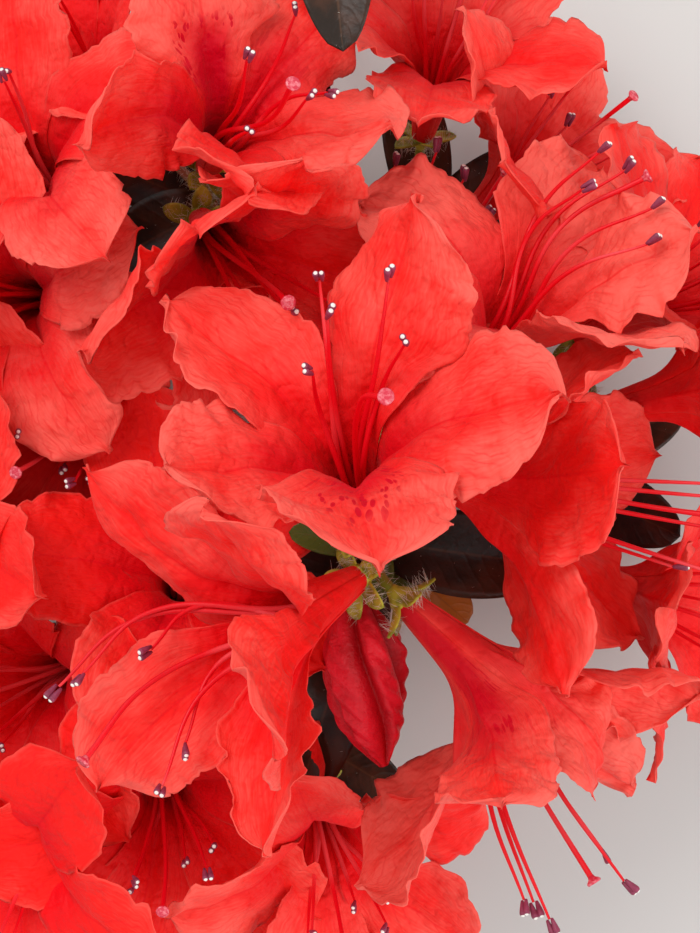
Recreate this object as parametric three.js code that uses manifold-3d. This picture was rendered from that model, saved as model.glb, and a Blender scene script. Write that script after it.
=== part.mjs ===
// A flowering branch cut from an evergreen azalea, laid flat with its shoots turned up.
// Millimetres and degrees. +Z is up and z = 0 is the surface that the branch lies on.
import * as THREE from "three";
import Module from "manifold-3d";

const wasm = await Module();
wasm.setup();

// Driving dimensions of one bloom. Every bloom is this one, made larger or smaller.
const TUBE = 18; // from the calyx to where the five lobes part
const TUBE_FOOT = 1.8; // radius of the tube at the calyx
const TUBE_ANGLE = 9; // how fast the tube widens at its foot, degrees from its axis
const LOBE = 31; // from the parting to the tip of a lobe
const LOBE_HALF = 11.4; // half the width of a lobe at its widest
const PETAL = 0.7; // thickness of a petal
const LAP = 0.5; // how far one edge of a petal lies outside its neighbour
const PETALS = 5;
const CALYX = 1.6; // how far the green cup reaches below the tube
const FLOOR = 2.4; // how far the tube's foot is solid, which carries the stamens

// Stamens and style.
const FILAMENT = 0.42; // radius of a filament
const FILAMENT_FOOT = 0.3; // the same at its foot
const ANTHER = 0.8; // radius of an anther and of the stigma
const REACH = 42; // from the foot of the tube to the furthest anther
const ROOTED = 0.8; // how deep a stamen is rooted in the tube's floor

// Stalks, wood and leaves.
const PEDICEL = 0.85; // radius of a flower's stalk
const CLEAR = 0.3; // gap between two pieces that touch
const LEAF_THICK = 0.5;
const SETTLE = 0.3; // how far a limb is flattened underneath where it lies on the surface
const BUD_SCALE = 2.6; // radius of the knob of bud scales that carries a cluster

const RED = { color: 0xe8382f, roughness: 0.55, metalness: 0 };
const CRIMSON = { color: 0xa8101f, roughness: 0.55, metalness: 0 };
const BARK = { color: 0x4a3527, roughness: 0.9, metalness: 0 };
const LEAF = { color: 0x2f3018, roughness: 0.4, metalness: 0 };

const rad = THREE.MathUtils.degToRad;
const mix = THREE.MathUtils.lerp;
const step = (x) => THREE.MathUtils.smoothstep(x, 0, 1);
const vec = (x, y, z) => new THREE.Vector3(x, y, z);

// A small seeded generator, so that each bloom is its own and stays the same.
function seeded(seed) {
  let state = (seed * 2654435761) >>> 0;
  return () => {
    state = (state + 0x6d2b79f5) >>> 0;
    let t = state;
    t = Math.imul(t ^ (t >>> 15), t | 1);
    t ^= t + Math.imul(t ^ (t >>> 7), t | 61);
    return ((t ^ (t >>> 14)) >>> 0) / 4294967296;
  };
}

// A closed solid from points and triangles, turned right side out.
function solidFrom(points, triangles) {
  const vertProperties = new Float32Array(points.flatMap((p) => [p.x, p.y, p.z]));
  const made = new wasm.Manifold(
    new wasm.Mesh({ numProp: 3, vertProperties, triVerts: new Uint32Array(triangles.flat()) }),
  );
  if (made.volume() > 0) return made;
  const turned = triangles.map(([a, b, c]) => [a, c, b]);
  return new wasm.Manifold(
    new wasm.Mesh({ numProp: 3, vertProperties, triVerts: new Uint32Array(turned.flat()) }),
  );
}

// A thin blade from its root to one point at its tip. grid[row][column] is { point, normal }.
function bladeSolid(grid, tip, thickness) {
  const points = [];
  const add = (p) => points.push(p) - 1;
  const sides = [1, -1].map((side) =>
    grid.map((row) =>
      row.map((at) => add(at.point.clone().addScaledVector(at.normal, (side * thickness) / 2))),
    ),
  );
  const end = add(tip);
  const rows = grid.length;
  const columns = grid[0].length;
  const triangles = [];
  const quad = (a, b, c, d) => triangles.push([a, b, c], [a, c, d]);
  sides.forEach((face, k) => {
    const turn = (a, b, c, d) => (k ? quad(d, c, b, a) : quad(a, b, c, d));
    for (let i = 0; i + 1 < rows; i++)
      for (let j = 0; j + 1 < columns; j++)
        turn(face[i][j], face[i + 1][j], face[i + 1][j + 1], face[i][j + 1]);
    for (let j = 0; j + 1 < columns; j++) {
      const fan = [face[rows - 1][j], end, face[rows - 1][j + 1]];
      triangles.push(k ? fan.reverse() : fan);
    }
  });
  const [top, under] = sides;
  const last = columns - 1;
  for (let i = 0; i + 1 < rows; i++) {
    quad(top[i][0], under[i][0], under[i + 1][0], top[i + 1][0]);
    quad(top[i + 1][last], under[i + 1][last], under[i][last], top[i][last]);
  }
  triangles.push([top[rows - 1][0], under[rows - 1][0], end]);
  triangles.push([end, under[rows - 1][last], top[rows - 1][last]]);
  for (let j = 0; j < last; j++) quad(top[0][j], top[0][j + 1], under[0][j + 1], under[0][j]);
  return solidFrom(points, triangles);
}

// A limb that follows a curve and tapers, with flat ends.
function limbSolid(curve, radiusAt, sides, steps) {
  const frames = curve.computeFrenetFrames(steps, false);
  const points = [];
  for (let i = 0; i <= steps; i++) {
    const centre = curve.getPointAt(i / steps);
    for (let j = 0; j < sides; j++) {
      const a = (2 * Math.PI * j) / sides;
      const r = radiusAt(i / steps, j);
      points.push(
        centre
          .clone()
          .addScaledVector(frames.normals[i], r * Math.cos(a))
          .addScaledVector(frames.binormals[i], r * Math.sin(a)),
      );
    }
  }
  const triangles = [];
  for (let i = 0; i < steps; i++)
    for (let j = 0; j < sides; j++) {
      const a = i * sides + j;
      const b = i * sides + ((j + 1) % sides);
      triangles.push([a, b, b + sides], [a, b + sides, a + sides]);
    }
  const far = steps * sides;
  for (let j = 1; j + 1 < sides; j++) {
    triangles.push([0, j + 1, j], [far, far + j, far + j + 1]);
  }
  return solidFrom(points, triangles);
}

// The axes of a bloom: z runs out of its mouth and x points to its blotched upper lobe.
// az turns in plan from +X, el rises from the horizon, roll turns the bloom about its own axis.
function facing(az, el, roll = 0) {
  const [a, e, r] = [az, el, roll].map(rad);
  const out = vec(Math.cos(e) * Math.cos(a), Math.cos(e) * Math.sin(a), Math.sin(e));
  const upper = vec(-Math.sin(e) * Math.cos(a), -Math.sin(e) * Math.sin(a), Math.cos(e));
  upper.applyAxisAngle(out, r);
  return new THREE.Matrix4().makeBasis(upper, out.clone().cross(upper), out);
}

// Half the width of a lobe, as a share of its widest, from the parting (0) to the tip (1).
const WIDEST = 0.46;
function lobeOutline(t) {
  if (t < WIDEST) return mix(0.62, 1, Math.sin((Math.PI / 2) * (t / WIDEST)));
  return Math.pow(Math.max(0, 1 - Math.pow((t - WIDEST) / (1 - WIDEST), 3.2)), 1.4);
}

// What each petal does unless the bloom says otherwise.
const PLAIN_PETAL = {
  flare: 64, // angle from the bloom's axis that the lobe opens to
  curl: 18, // what its tip adds to that
  side: 0, // sideways bend
  twist: 0,
  cup: 0.2, // edges towards the axis, as a share of a radian at each edge
  near: 0, // how far its first edge (across -1) rolls in (+) or back (-), degrees
  far: 0, // the same for its other edge
  long: 1,
  wide: 1,
  wave: 1.2, // height of the ruffle at the edge
  waves: 1.5,
  phase: 0,
};

// A point on a petal and the way its inner face looks there, in the bloom's own frame.
// along runs 0 to TUBE + LOBE, across from -1 to 1.
function petalPoint(petal, azimuth, along, across) {
  const lobe = LOBE * petal.long;
  const flare = rad(petal.flare);
  const [c, s] = [Math.cos(azimuth), Math.sin(azimuth)];
  const centre = vec(TUBE_FOOT * c, TUBE_FOOT * s, 0);
  const steps = Math.max(1, Math.round(along));
  const out = vec(0, 0, 1);
  const acrossWay = vec();
  const inward = vec();
  for (let i = 0; i <= steps; i++) {
    const d = (along * (i < steps ? i + 0.5 : steps)) / steps;
    const t = (d - TUBE) / lobe;
    const open = step((d - 0.5 * TUBE) / (0.5 * TUBE + 0.5 * lobe));
    const angle = mix(rad(TUBE_ANGLE), flare, open) + rad(petal.curl) * step((t - 0.5) / 0.5);
    const bend = rad(petal.side) * step(t);
    const radial = vec(
      Math.cos(bend) * c - Math.sin(bend) * s,
      Math.cos(bend) * s + Math.sin(bend) * c,
      0,
    );
    out.set(0, 0, Math.cos(angle)).addScaledVector(radial, Math.sin(angle));
    inward.set(0, 0, Math.sin(angle)).addScaledVector(radial, -Math.cos(angle));
    acrossWay.set(-radial.y, radial.x, 0);
    if (i < steps) centre.addScaledVector(out, along / steps);
  }
  const t = (along - TUBE) / lobe;
  const twist = rad(petal.twist) * step(t);
  acrossWay.applyAxisAngle(out, twist);
  inward.applyAxisAngle(out, twist);
  const radius = Math.hypot(centre.x, centre.y);
  const inTube = 1 - step((along - TUBE) / (0.35 * lobe));
  const sector = radius * (Math.PI / PETALS);
  const lobeHalf = LOBE_HALF * petal.wide * lobeOutline(Math.max(0, t));
  const fitted = t > 0 ? Math.min(lobeHalf, sector) : sector;
  const half = mix(fitted, lobeHalf, step((t - 0.3) / 0.2));
  const bow = mix(petal.cup, half / radius, inTube);
  const roll = rad(across < 0 ? petal.near : petal.far) * step(t * 2) * Math.sign(across);
  const point = centre.clone();
  const normal = inward.clone();
  const slices = 4;
  for (let i = 0; i <= slices; i++) {
    const v = (across * (i < slices ? i + 0.5 : slices)) / slices;
    const turn = bow * v + roll * Math.pow(Math.abs(v), 3);
    if (i < slices) {
      point.addScaledVector(acrossWay, ((half * across) / slices) * Math.cos(turn));
      point.addScaledVector(inward, ((half * across) / slices) * Math.sin(turn));
    }
    normal.copy(inward).multiplyScalar(Math.cos(turn)).addScaledVector(acrossWay, -Math.sin(turn));
  }
  const ripple = Math.sin(2 * Math.PI * petal.waves * t + petal.phase + (across < 0 ? 2.1 : 0));
  const lift = petal.wave * ripple * across * across * step(t * 2.5);
  point.addScaledVector(normal, lift - LAP * across * step(t / 0.2));
  return { point, normal };
}

// Rows count tube lengths up to 1, then lobe lengths. Columns run across the petal.
const FINE = { rows: [0, 1, 1.27, 1.55, 1.82], columns: [-1, 0, 1] };
const COARSE = { rows: [0, 1, 1.36, 1.74], columns: [-1, 0, 1] };

// The five petals of a bloom: the plain one, a seeded change, then what the bloom itself says.
function petalsOf(bloom) {
  const random = seeded(bloom.seed);
  const spread = (size) => (2 * random() - 1) * size;
  return Array.from({ length: PETALS }, (_, i) => ({
    ...PLAIN_PETAL,
    flare: (bloom.flare ?? PLAIN_PETAL.flare) + spread(7),
    curl: (bloom.curl ?? PLAIN_PETAL.curl) + spread(14),
    side: spread(6),
    twist: spread(12),
    cup: PLAIN_PETAL.cup + spread(0.25),
    long: 1 + spread(0.05),
    wide: 1 + spread(0.07),
    phase: Math.PI * (1 + spread(1)),
    waves: 1.5 + spread(0.4),
    ...bloom.petals?.[i],
  }));
}

// The five filaments and, last, the style. They lean to the lower lobes and turn up again.
// reach is a share of REACH, side and lean turn it, foot is its place on the tube's floor, and
// knee is how far its middle is held off to the upper lobe.
const STAMENS = [
  { reach: 0.98, side: -9, lean: 3, foot: 306 },
  { reach: 0.9, side: 10, lean: 2, foot: 54 },
  { reach: 0.8, side: -13, lean: 7, foot: 234 },
  { reach: 0.86, side: 13, lean: 8, foot: 126 },
  { reach: 0.74, side: -3, lean: 11, foot: 198 },
  { reach: 1.08, side: 3, lean: 5, foot: 18 },
];

// A stamen as a curve in the bloom's own frame.
function stamenCurve(stamen) {
  const reach = REACH * stamen.reach;
  const [lean, side, turn] = [stamen.lean, stamen.side, stamen.foot].map(rad);
  const way = vec(-Math.sin(lean), 0, Math.cos(lean)).multiplyScalar(Math.cos(side));
  way.y = Math.sin(side);
  const foot = vec(1.15 * Math.cos(turn), 1.15 * Math.sin(turn), FLOOR);
  const throat = vec(1.9 * Math.cos(turn) - 1, 1.9 * Math.sin(turn), TUBE * 0.75);
  const knee = way.clone().multiplyScalar(reach * 0.72).add(vec(stamen.knee ?? 0, 0, 0));
  const tip = way.clone().multiplyScalar(reach).add(vec(2, 0, 0));
  return new THREE.CatmullRomCurve3([foot, throat, knee, tip]);
}

// Where each shoot ends in a knob of bud scales, and the way the shoot points there.
const CLUSTERS = {
  front: { at: [4, -12, 50], way: [0, -0.1, 1] },
  back: { at: [10, 11, 25], way: [0.2, 0.1, 1] },
  top: { at: [14, 44, 15], way: [0.1, 0.4, 1] },
  crown: { at: [-24, 46, 21], way: [-0.1, 0.2, 1] },
  left: { at: [-47, 30, 13], way: [-0.3, 0.1, 1] },
  low: { at: [-43, -34, 12], way: [-0.2, -0.3, 1] },
  foot: { at: [-15, -46, 10], way: [0.1, -0.4, 1] },
  right: { at: [32, 0, 20], way: [0.5, 0, 1] },
  tip: { at: [-4, 91, 67], way: [0, 0.2, 1] },
};

// Each bloom: its cluster, where its calyx sits, where it faces (plan angle, rise, roll) and its size.
const BLOOMS = {
  centre: {
    cluster: "front", at: [2.4, -8.3, 65.5], face: [105, 54, -1], size: 1, seed: 3, fine: true,
    petals: [
      { flare: 54, curl: 33, side: 2, twist: -14, cup: 0.48, near: 4, far: -46, long: 1.11, wide: 1.16 },
      { flare: 63, curl: -5, side: -13, twist: 10, cup: 0.13, near: -77, far: -15, long: 1.05, wide: 1.07 },
      { flare: 49, curl: -15, side: -12, twist: -12, cup: -0.48, near: 2, far: -44, long: 1.12, wide: 1.17 },
      { flare: 69, curl: -17, side: 14, twist: 21, cup: 0.6, near: 36, far: 8, long: 0.98, wide: 0.93 },
      { flare: 55, curl: -20, side: 11, twist: -16, cup: 0.29, near: -16, far: 10, long: 0.92, wide: 0.94 },
    ],
    stamens: [
      { reach: 0.97, side: 3, lean: 27, foot: 234, knee: 4 },
      { reach: 1.03, side: 15, lean: 17, foot: 126, knee: 4 },
      { reach: 0.87, side: 18, lean: 9, foot: 54 },
      { reach: 0.9, side: 3, lean: 19, foot: 198, knee: 2 },
      { reach: 0.82, side: -3, lean: 8, foot: 306 },
      { reach: 1.01, side: 9, lean: -11, foot: 18 },
    ],
  },
  sideways: {
    cluster: "front", at: [1.4, -16.6, 66.4], face: [208, 48, 45], size: 1, seed: 5, fine: true,
    petals: [
      { flare: 51, curl: 0, side: 4, twist: 13, cup: -0.12, near: -1, far: -8, long: 0.97, wide: 0.91 },
      { flare: 80, curl: 16, side: -12, twist: 2, cup: -0.81, near: 4, far: -62, long: 1.06, wide: 0.94 },
      { flare: 56, curl: 36, side: 14, twist: -16, cup: 0.21, near: -14, far: -5, long: 1.17, wide: 0.9 },
      { flare: 48, curl: 6, side: 8, twist: 13, cup: 0.39, near: 104, far: -2, long: 0.95, wide: 0.9 },
      { flare: 31, curl: 13, side: -8, twist: 17, cup: 0.62, near: -2, far: 3, long: 1.15, wide: 1 },
    ],
    stamens: [
      { reach: 1.14, side: 25, lean: 16, foot: 54, knee: 4 },
      { reach: 1.06, side: 24, lean: 14, foot: 18, knee: 4 },
      { reach: 0.84, side: 19, lean: 9, foot: 306, knee: 2 },
      { reach: 0.91, side: 4, lean: 25, foot: 198, knee: 4 },
      { reach: 1.06, side: 2, lean: 26, foot: 234, knee: 4 },
      { reach: 1.2, side: 12, lean: 20, foot: 126, knee: 2 },
    ],
  },
  hanging: {
    cluster: "front", at: [7.7, -19.9, 65.0], face: [-42, 3, 25], size: 1, seed: 7, fine: true,
    petals: [
      { flare: 80, curl: 1, side: -17, twist: -44, cup: 0.4, near: 33, far: -48, long: 0.98, wide: 0.82 },
      { flare: 84, curl: 18, side: 4, twist: -28, cup: -0.58, near: 10, far: 6, long: 1.15, wide: 1.19 },
      { flare: 32, curl: -3, side: 39, twist: 34, cup: -0.36, near: -29, far: 0, long: 1.16, wide: 1 },
      { flare: 41, curl: -18, side: -4, twist: -12, cup: 1.09, near: 54, far: 7, long: 1.09, wide: 0.92 },
      { flare: 3, curl: -81, side: -3, twist: -6, cup: 0.11, near: -3, far: -5, long: 0.81, wide: 1.01 },
    ],
    stamens: [
      { reach: 1.11, side: 18, lean: -19, foot: 198 },
      { reach: 1.13, side: 17, lean: -18, foot: 126, knee: -1 },
      { reach: 1.2, side: 15, lean: -19, foot: 54 },
      { reach: 1.11, side: 5, lean: -8, foot: 306 },
      { reach: 1.23, side: 4, lean: -11, foot: 234 },
      { reach: 1.17, side: 8, lean: -12, foot: 18 },
    ],
  },
  outward: {
    cluster: "front", at: [3.2, 0.7, 59.9], face: [-10, 11, -7], size: 1, seed: 9, fine: true,
    petals: [
      { flare: 53, curl: 1, side: -8, twist: 11, cup: 0.09, near: 6, far: 13, long: 1.05, wide: 1.05 },
      { flare: 58, curl: 13, side: 0, twist: -30, cup: 0.16, near: 46, far: -44, long: 1.03, wide: 0.93 },
      { flare: 46, curl: -3, side: -9, twist: 0, cup: 0.2, near: 0, far: 0, long: 1.17, wide: 1 },
      { flare: 39, curl: -3, side: -10, twist: 0, cup: 0.2, near: 0, far: 0, long: 0.99, wide: 1 },
      { flare: 50, curl: -12, side: -6, twist: 21, cup: -0.34, near: -49, far: 4, long: 0.87, wide: 1.04 },
    ],
    stamens: [
      { reach: 1.31, side: -4, lean: 1, foot: 234 },
      { reach: 1.28, side: -6, lean: 0, foot: 198, knee: -1 },
      { reach: 1.32, side: 1, lean: 2, foot: 18 },
      { reach: 1.15, side: 9, lean: 3, foot: 126 },
      { reach: 1.36, side: 8, lean: 1, foot: 54, knee: 1 },
      { reach: 1.35, side: -1, lean: 1, foot: 306 },
    ],
  },
  behind: {
    cluster: "back", at: [-3, 10, 36], face: [71, 29, -10], size: 1, seed: 11, fine: true,
    petals: [
      { flare: 100, curl: 40, side: 0, long: 0.85 },
      { flare: 66, curl: 75, side: -21, twist: -3, cup: -0.02, near: 0, far: -11, long: 0.77, wide: 1 },
      { flare: 74, curl: 53, side: 64, twist: 0, cup: 0.2, near: 0, far: 0, long: 0.88, wide: 1 },
      { flare: 68, curl: 35, side: -22, twist: -28, cup: -0.97, near: -18, far: -66, long: 0.9, wide: 0.99 },
      { flare: 92, curl: 30, side: 0, long: 0.9 },
    ],
    stamens: [
      { reach: 1.11, side: 2, lean: 11, foot: 18 },
      { reach: 0.92, side: 3, lean: 12, foot: 54, knee: 2 },
      { reach: 1.06, side: 9, lean: 14, foot: 126 },
      { reach: 1.01, side: -5, lean: 10, foot: 306 },
      { reach: 0.98, side: 17, lean: 17, foot: 234 },
      { reach: 1.17, side: 15, lean: 15, foot: 198, knee: -2 },
    ],
  },
  beyond: {
    cluster: "back", at: [17.3, 14.1, 47], face: [49, 44, -19], size: 1, seed: 13, fine: true,
    petals: [
      { flare: 96, curl: 34, side: 0, long: 0.9 },
      { flare: 43, curl: -3, side: 2, twist: 0, cup: 0.2, near: 0, far: 0, long: 1.03, wide: 1 },
      { flare: 19, curl: 8, side: -2, twist: 6, cup: 0.19, near: -5, far: -6, long: 0.93, wide: 1.08 },
      { flare: 69, curl: 31, side: -19, twist: 0, cup: 0.2, near: 0, far: 0, long: 0.97, wide: 1 },
      { flare: 100, curl: 40, side: 6, long: 0.85 },
    ],
    stamens: [
      { reach: 1.03, side: -15, lean: 20, foot: 306 },
      { reach: 0.91, side: -11, lean: 13, foot: 18 },
      { reach: 1.03, side: -9, lean: 22, foot: 234, knee: 2 },
      { reach: 1.03, side: 2, lean: 17, foot: 126, knee: 2 },
      { reach: 0.96, side: 8, lean: 14, foot: 54, knee: 2 },
      { reach: 1.07, side: -5, lean: 23, foot: 198, knee: 4 },
    ],
  },
  crown: {
    cluster: "crown", at: [-23.9, 49.6, 39.9], face: [38, 66, -96], size: 1, seed: 21, fine: true,
    petals: [
      { flare: 51, curl: 100, side: -21, twist: 6, cup: -0.06, near: -20, far: 11, long: 0.75, wide: 1.06 },
      { flare: 70, curl: -3, side: 29, twist: -39, cup: 0.27, near: 38, far: -69, long: 0.94, wide: 0.79 },
      { flare: 42, curl: 5, side: -17, twist: 0, cup: 0.2, near: 0, far: 0, long: 0.97, wide: 1 },
      { flare: 44, curl: -17, side: -9, twist: -23, cup: -0.13, near: -88, far: 9, long: 0.84, wide: 1.03 },
      { flare: 86, curl: 62, side: 0, twist: 21, cup: -0.52, near: -55, far: 0, long: 0.93, wide: 0.88 },
    ],
    stamens: [
      { reach: 0.95, side: 6, lean: 2, foot: 18 },
      { reach: 0.91, side: 12, lean: 15, foot: 126, knee: 2 },
      { reach: 0.84, side: -7, lean: 14, foot: 234 },
      { reach: 0.89, side: -10, lean: 15, foot: 198, knee: 4 },
      { reach: 0.8, side: -21, lean: -9, foot: 306 },
      { reach: 1.03, side: 2, lean: 11, foot: 54 },
    ],
  },
  crown_low: {
    cluster: "crown", at: [-24.6, 40.6, 43.9], face: [-54, 60, 8], size: 1, seed: 23, fine: true,
    petals: [
      { flare: 25, curl: -6, side: -3, twist: -3, cup: 0.29, near: 4, far: 1, long: 0.99, wide: 0.99 },
      { flare: 65, curl: -29, side: -14, twist: -24, cup: 0.7, near: 13, far: 27, long: 0.88, wide: 1.08 },
      { flare: 98, curl: 72, side: -5, twist: 0, cup: 0.2, near: 0, far: 0, long: 0.93, wide: 1 },
      { flare: 92, curl: 80, side: -8, twist: 0, cup: 0.2, near: 0, far: 0, long: 0.9, wide: 1 },
      { flare: 37, curl: 3, side: 28, twist: 4, cup: -0.08, near: -20, far: -5, long: 0.86, wide: 1.12 },
    ],
    stamens: [
      { reach: 0.96, side: -2, lean: 10, foot: 306 },
      { reach: 0.92, side: -2, lean: 20, foot: 198 },
      { reach: 0.85, side: 7, lean: 16, foot: 126 },
      { reach: 0.9, side: -10, lean: 20, foot: 234 },
      { reach: 0.82, side: 9, lean: 10, foot: 54 },
      { reach: 1.03, side: -3, lean: 6, foot: 18 },
    ],
  },
  edge: { cluster: "right", at: [39, 8.7, 46], face: [12, 26, 0], size: 0.92, seed: 15 },
  right_up: { cluster: "right", at: [39, 22, 28.7], face: [28, 40, 0], size: 0.9, seed: 45 },
  right_low: { cluster: "right", at: [36, -18, 30], face: [-14, 26, 0], size: 0.9, seed: 47 },
  far_right: { cluster: "top", at: [18.5, 41, 26], face: [38, 40, 0], size: 0.9, seed: 17 },
  far_top: { cluster: "top", at: [12.6, 57.5, 25], face: [78, 52, 0], size: 0.9, seed: 19 },
  corner: { cluster: "crown", at: [-37.4, 60, 20.3], face: [140, 52, 0], size: 0.9, seed: 25 },
  left_top: { cluster: "left", at: [-46.5, 42, 36], face: [130, 62, 0], size: 0.92, seed: 27, flare: 74 },
  left_mid: { cluster: "left", at: [-50, 29, 31], face: [200, 72, 0], size: 0.92, seed: 29, flare: 72 },
  left_low: { cluster: "left", at: [-41, 12.9, 22], face: [240, 68, 0], size: 0.92, seed: 31, flare: 74 },
  left_far: { cluster: "low", at: [-58, -14, 29], face: [160, 62, 0], size: 0.92, seed: 34, flare: 70 },
  low_left: { cluster: "low", at: [-46, -34, 20.1], face: [200, 66, 0], size: 0.92, seed: 33, flare: 72 },
  low_mid: { cluster: "low", at: [-29.4, -22.4, 30], face: [70, 72, 0], size: 0.92, seed: 35, flare: 72 },
  low_out: { cluster: "low", at: [-49.5, -57, 29], face: [235, 60, 0], size: 0.92, seed: 37, flare: 74 },
  low_right: { cluster: "foot", at: [-33, -50, 24], face: [290, 66, 0], size: 0.92, seed: 39, flare: 72 },
  foot_left: { cluster: "foot", at: [-7, -53.7, 26], face: [290, 54, 0], size: 0.9, seed: 41 },
};

// A bloom's stalk, from its calyx to the knob of its cluster.
function stalkCurve(bloom, start) {
  const { at, way } = CLUSTERS[bloom.cluster];
  const knob = vec(...at);
  const out = new THREE.Vector3().setFromMatrixColumn(facing(...bloom.face), 2);
  const reach = knob.distanceTo(start);
  const lean = start.clone().sub(knob).normalize().add(vec(...way).normalize()).normalize();
  const foot = knob.clone().addScaledVector(lean, BUD_SCALE + CLEAR);
  return new THREE.CubicBezierCurve3(
    start,
    start.clone().addScaledVector(out, -reach * 0.3),
    foot.clone().addScaledVector(lean, reach * 0.3),
    foot,
  );
}

// A bloom in its place as one closed solid, joined from closed parts: five petals that share
// their edges along the tube, the calyx with the tube's solid foot and the stalk, and the stamens.
function bloomSolid(bloom, grow = 0) {
  const mesh = bloom.fine ? FINE : COARSE;
  const place = new THREE.Matrix4()
    .makeTranslation(...bloom.at)
    .multiply(facing(...bloom.face))
    .multiply(new THREE.Matrix4().makeScale(bloom.size, bloom.size, bloom.size));
  const points = [];
  const add = (p) => points.push(p) - 1;
  const put = (p) => add(p.applyMatrix4(place));
  const quad = (faces, a, b, c, d) => faces.push([a, b, c], [a, c, d]);
  const closed = (faces) => {
    const used = [...new Set(faces.flat())];
    const renumber = new Map(used.map((old, i) => [old, i]));
    return solidFrom(
      used.map((old) => points[old]),
      faces.map((face) => face.map((old) => renumber.get(old))),
    );
  };

  const last = mesh.columns.length - 1;
  const end = mesh.rows.length - 1;
  const petals = petalsOf(bloom);
  const on = (petal, i, row, across, side) => {
    const along = row <= 1 ? row * TUBE : TUBE + (row - 1) * LOBE * petal.long;
    const raised = side > 0 ? Math.max(along, FLOOR) : along;
    const { point, normal } = petalPoint(petal, (2 * Math.PI * i) / PETALS, raised, across);
    return put(point.addScaledVector(normal, side * (PETAL / 2 + grow)));
  };
  const index = petals.map((petal, i) =>
    [1, -1].map((side) =>
      mesh.rows.map((row) => mesh.columns.map((across) => on(petal, i, row, across, side))),
    ),
  );
  index.forEach((faces, i) => {
    const next = index[(i + 1) % PETALS];
    faces.forEach((face, k) => {
      mesh.rows.forEach((row, r) => {
        if (row > 1) return;
        points[face[r][last]].add(points[next[k][r][0]]).multiplyScalar(0.5);
        next[k][r][0] = face[r][last];
      });
    });
  });
  const parts = index.map(([inner, outer], i) => {
    const faces = [];
    const tip = on(petals[i], i, 2, 0, 0);
    for (let j = 0; j < last; j++) {
      quad(faces, inner[0][j], inner[0][j + 1], outer[0][j + 1], outer[0][j]);
      for (let r = 0; r < end; r++) {
        quad(faces, inner[r][j], inner[r + 1][j], inner[r + 1][j + 1], inner[r][j + 1]);
        quad(faces, outer[r][j + 1], outer[r + 1][j + 1], outer[r + 1][j], outer[r][j]);
      }
      faces.push([inner[end][j], tip, inner[end][j + 1]], [outer[end][j + 1], tip, outer[end][j]]);
    }
    for (let r = 0; r < end; r++) {
      quad(faces, outer[r][0], outer[r + 1][0], inner[r + 1][0], inner[r][0]);
      quad(faces, inner[r + 1][last], outer[r + 1][last], outer[r][last], inner[r][last]);
    }
    faces.push([inner[end][0], outer[end][0], tip], [tip, outer[end][last], inner[end][last]]);
    return closed(faces);
  });

  // Adds a limb to a list of faces: it goes on from a ring of points along a curve.
  const grown = (faces, ring, curve, radiusAt, steps) => {
    let across = points[ring[0]].clone().sub(curve.getPointAt(0));
    let before = ring;
    for (let k = 1; k <= steps; k++) {
      const centre = curve.getPointAt(k / steps);
      const way = curve.getTangentAt(k / steps);
      across = across.addScaledVector(way, -across.dot(way)).normalize();
      const now = ring.map((_, j) => {
        const arm = across.clone().applyAxisAngle(way, (2 * Math.PI * j) / ring.length);
        return add(centre.clone().addScaledVector(arm, radiusAt(k / steps) + grow));
      });
      now.forEach((p, j) => {
        const n = (j + 1) % ring.length;
        quad(faces, before[j], before[n], now[n], p);
      });
      before = now;
    }
    for (let j = 1; j + 1 < ring.length; j++) faces.push([before[0], before[j], before[j + 1]]);
  };

  // Each stamen is rooted in the tube's solid foot.
  for (const stamen of bloom.stamens ?? STAMENS) {
    const line = stamenCurve(stamen).points.map((p) => p.applyMatrix4(place));
    const curve = new THREE.CatmullRomCurve3(line);
    const up = curve.getTangentAt(0);
    const root = curve.getPointAt(0).addScaledVector(up, -ROOTED * bloom.size);
    const arm = new THREE.Vector3().setFromMatrixColumn(place, 0).cross(up).normalize();
    const ring = [0, 1, 2].map((k) => {
      const way = arm.clone().applyAxisAngle(up, (2 * Math.PI * k) / 3);
      return add(root.clone().addScaledVector(way, FILAMENT_FOOT * bloom.size + grow));
    });
    const faces = [[ring[0], ring[2], ring[1]]];
    const thick = (t) => (t > 0.9 ? ANTHER : FILAMENT) * bloom.size;
    grown(faces, ring, curve, thick, bloom.fine ? 4 : 3);
    parts.push(closed(faces));
  }

  // The calyx closes the tube's foot and narrows to the stalk.
  const faces = [];
  const floor = put(vec(0, 0, FLOOR));
  const neck = petals.map((_, i) => {
    const a = (2 * Math.PI * i) / PETALS;
    return put(vec(1.1 * Math.cos(a), 1.1 * Math.sin(a), -CALYX));
  });
  index.forEach(([inner, outer], i) => {
    for (let j = 0; j < last; j++) {
      faces.push([floor, inner[0][j], inner[0][j + 1]]);
      quad(faces, inner[0][j], outer[0][j], outer[0][j + 1], inner[0][j + 1]);
      faces.push([outer[0][j], neck[i], outer[0][j + 1]]);
    }
    faces.push([outer[0][last], neck[i], neck[(i + 1) % PETALS]]);
  });
  const start = vec(0, 0, -CALYX).applyMatrix4(place);
  grown(faces, neck.reverse(), stalkCurve(bloom, start), () => PEDICEL, 3);
  return wasm.Manifold.union([closed(faces), ...parts]);
}

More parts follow.
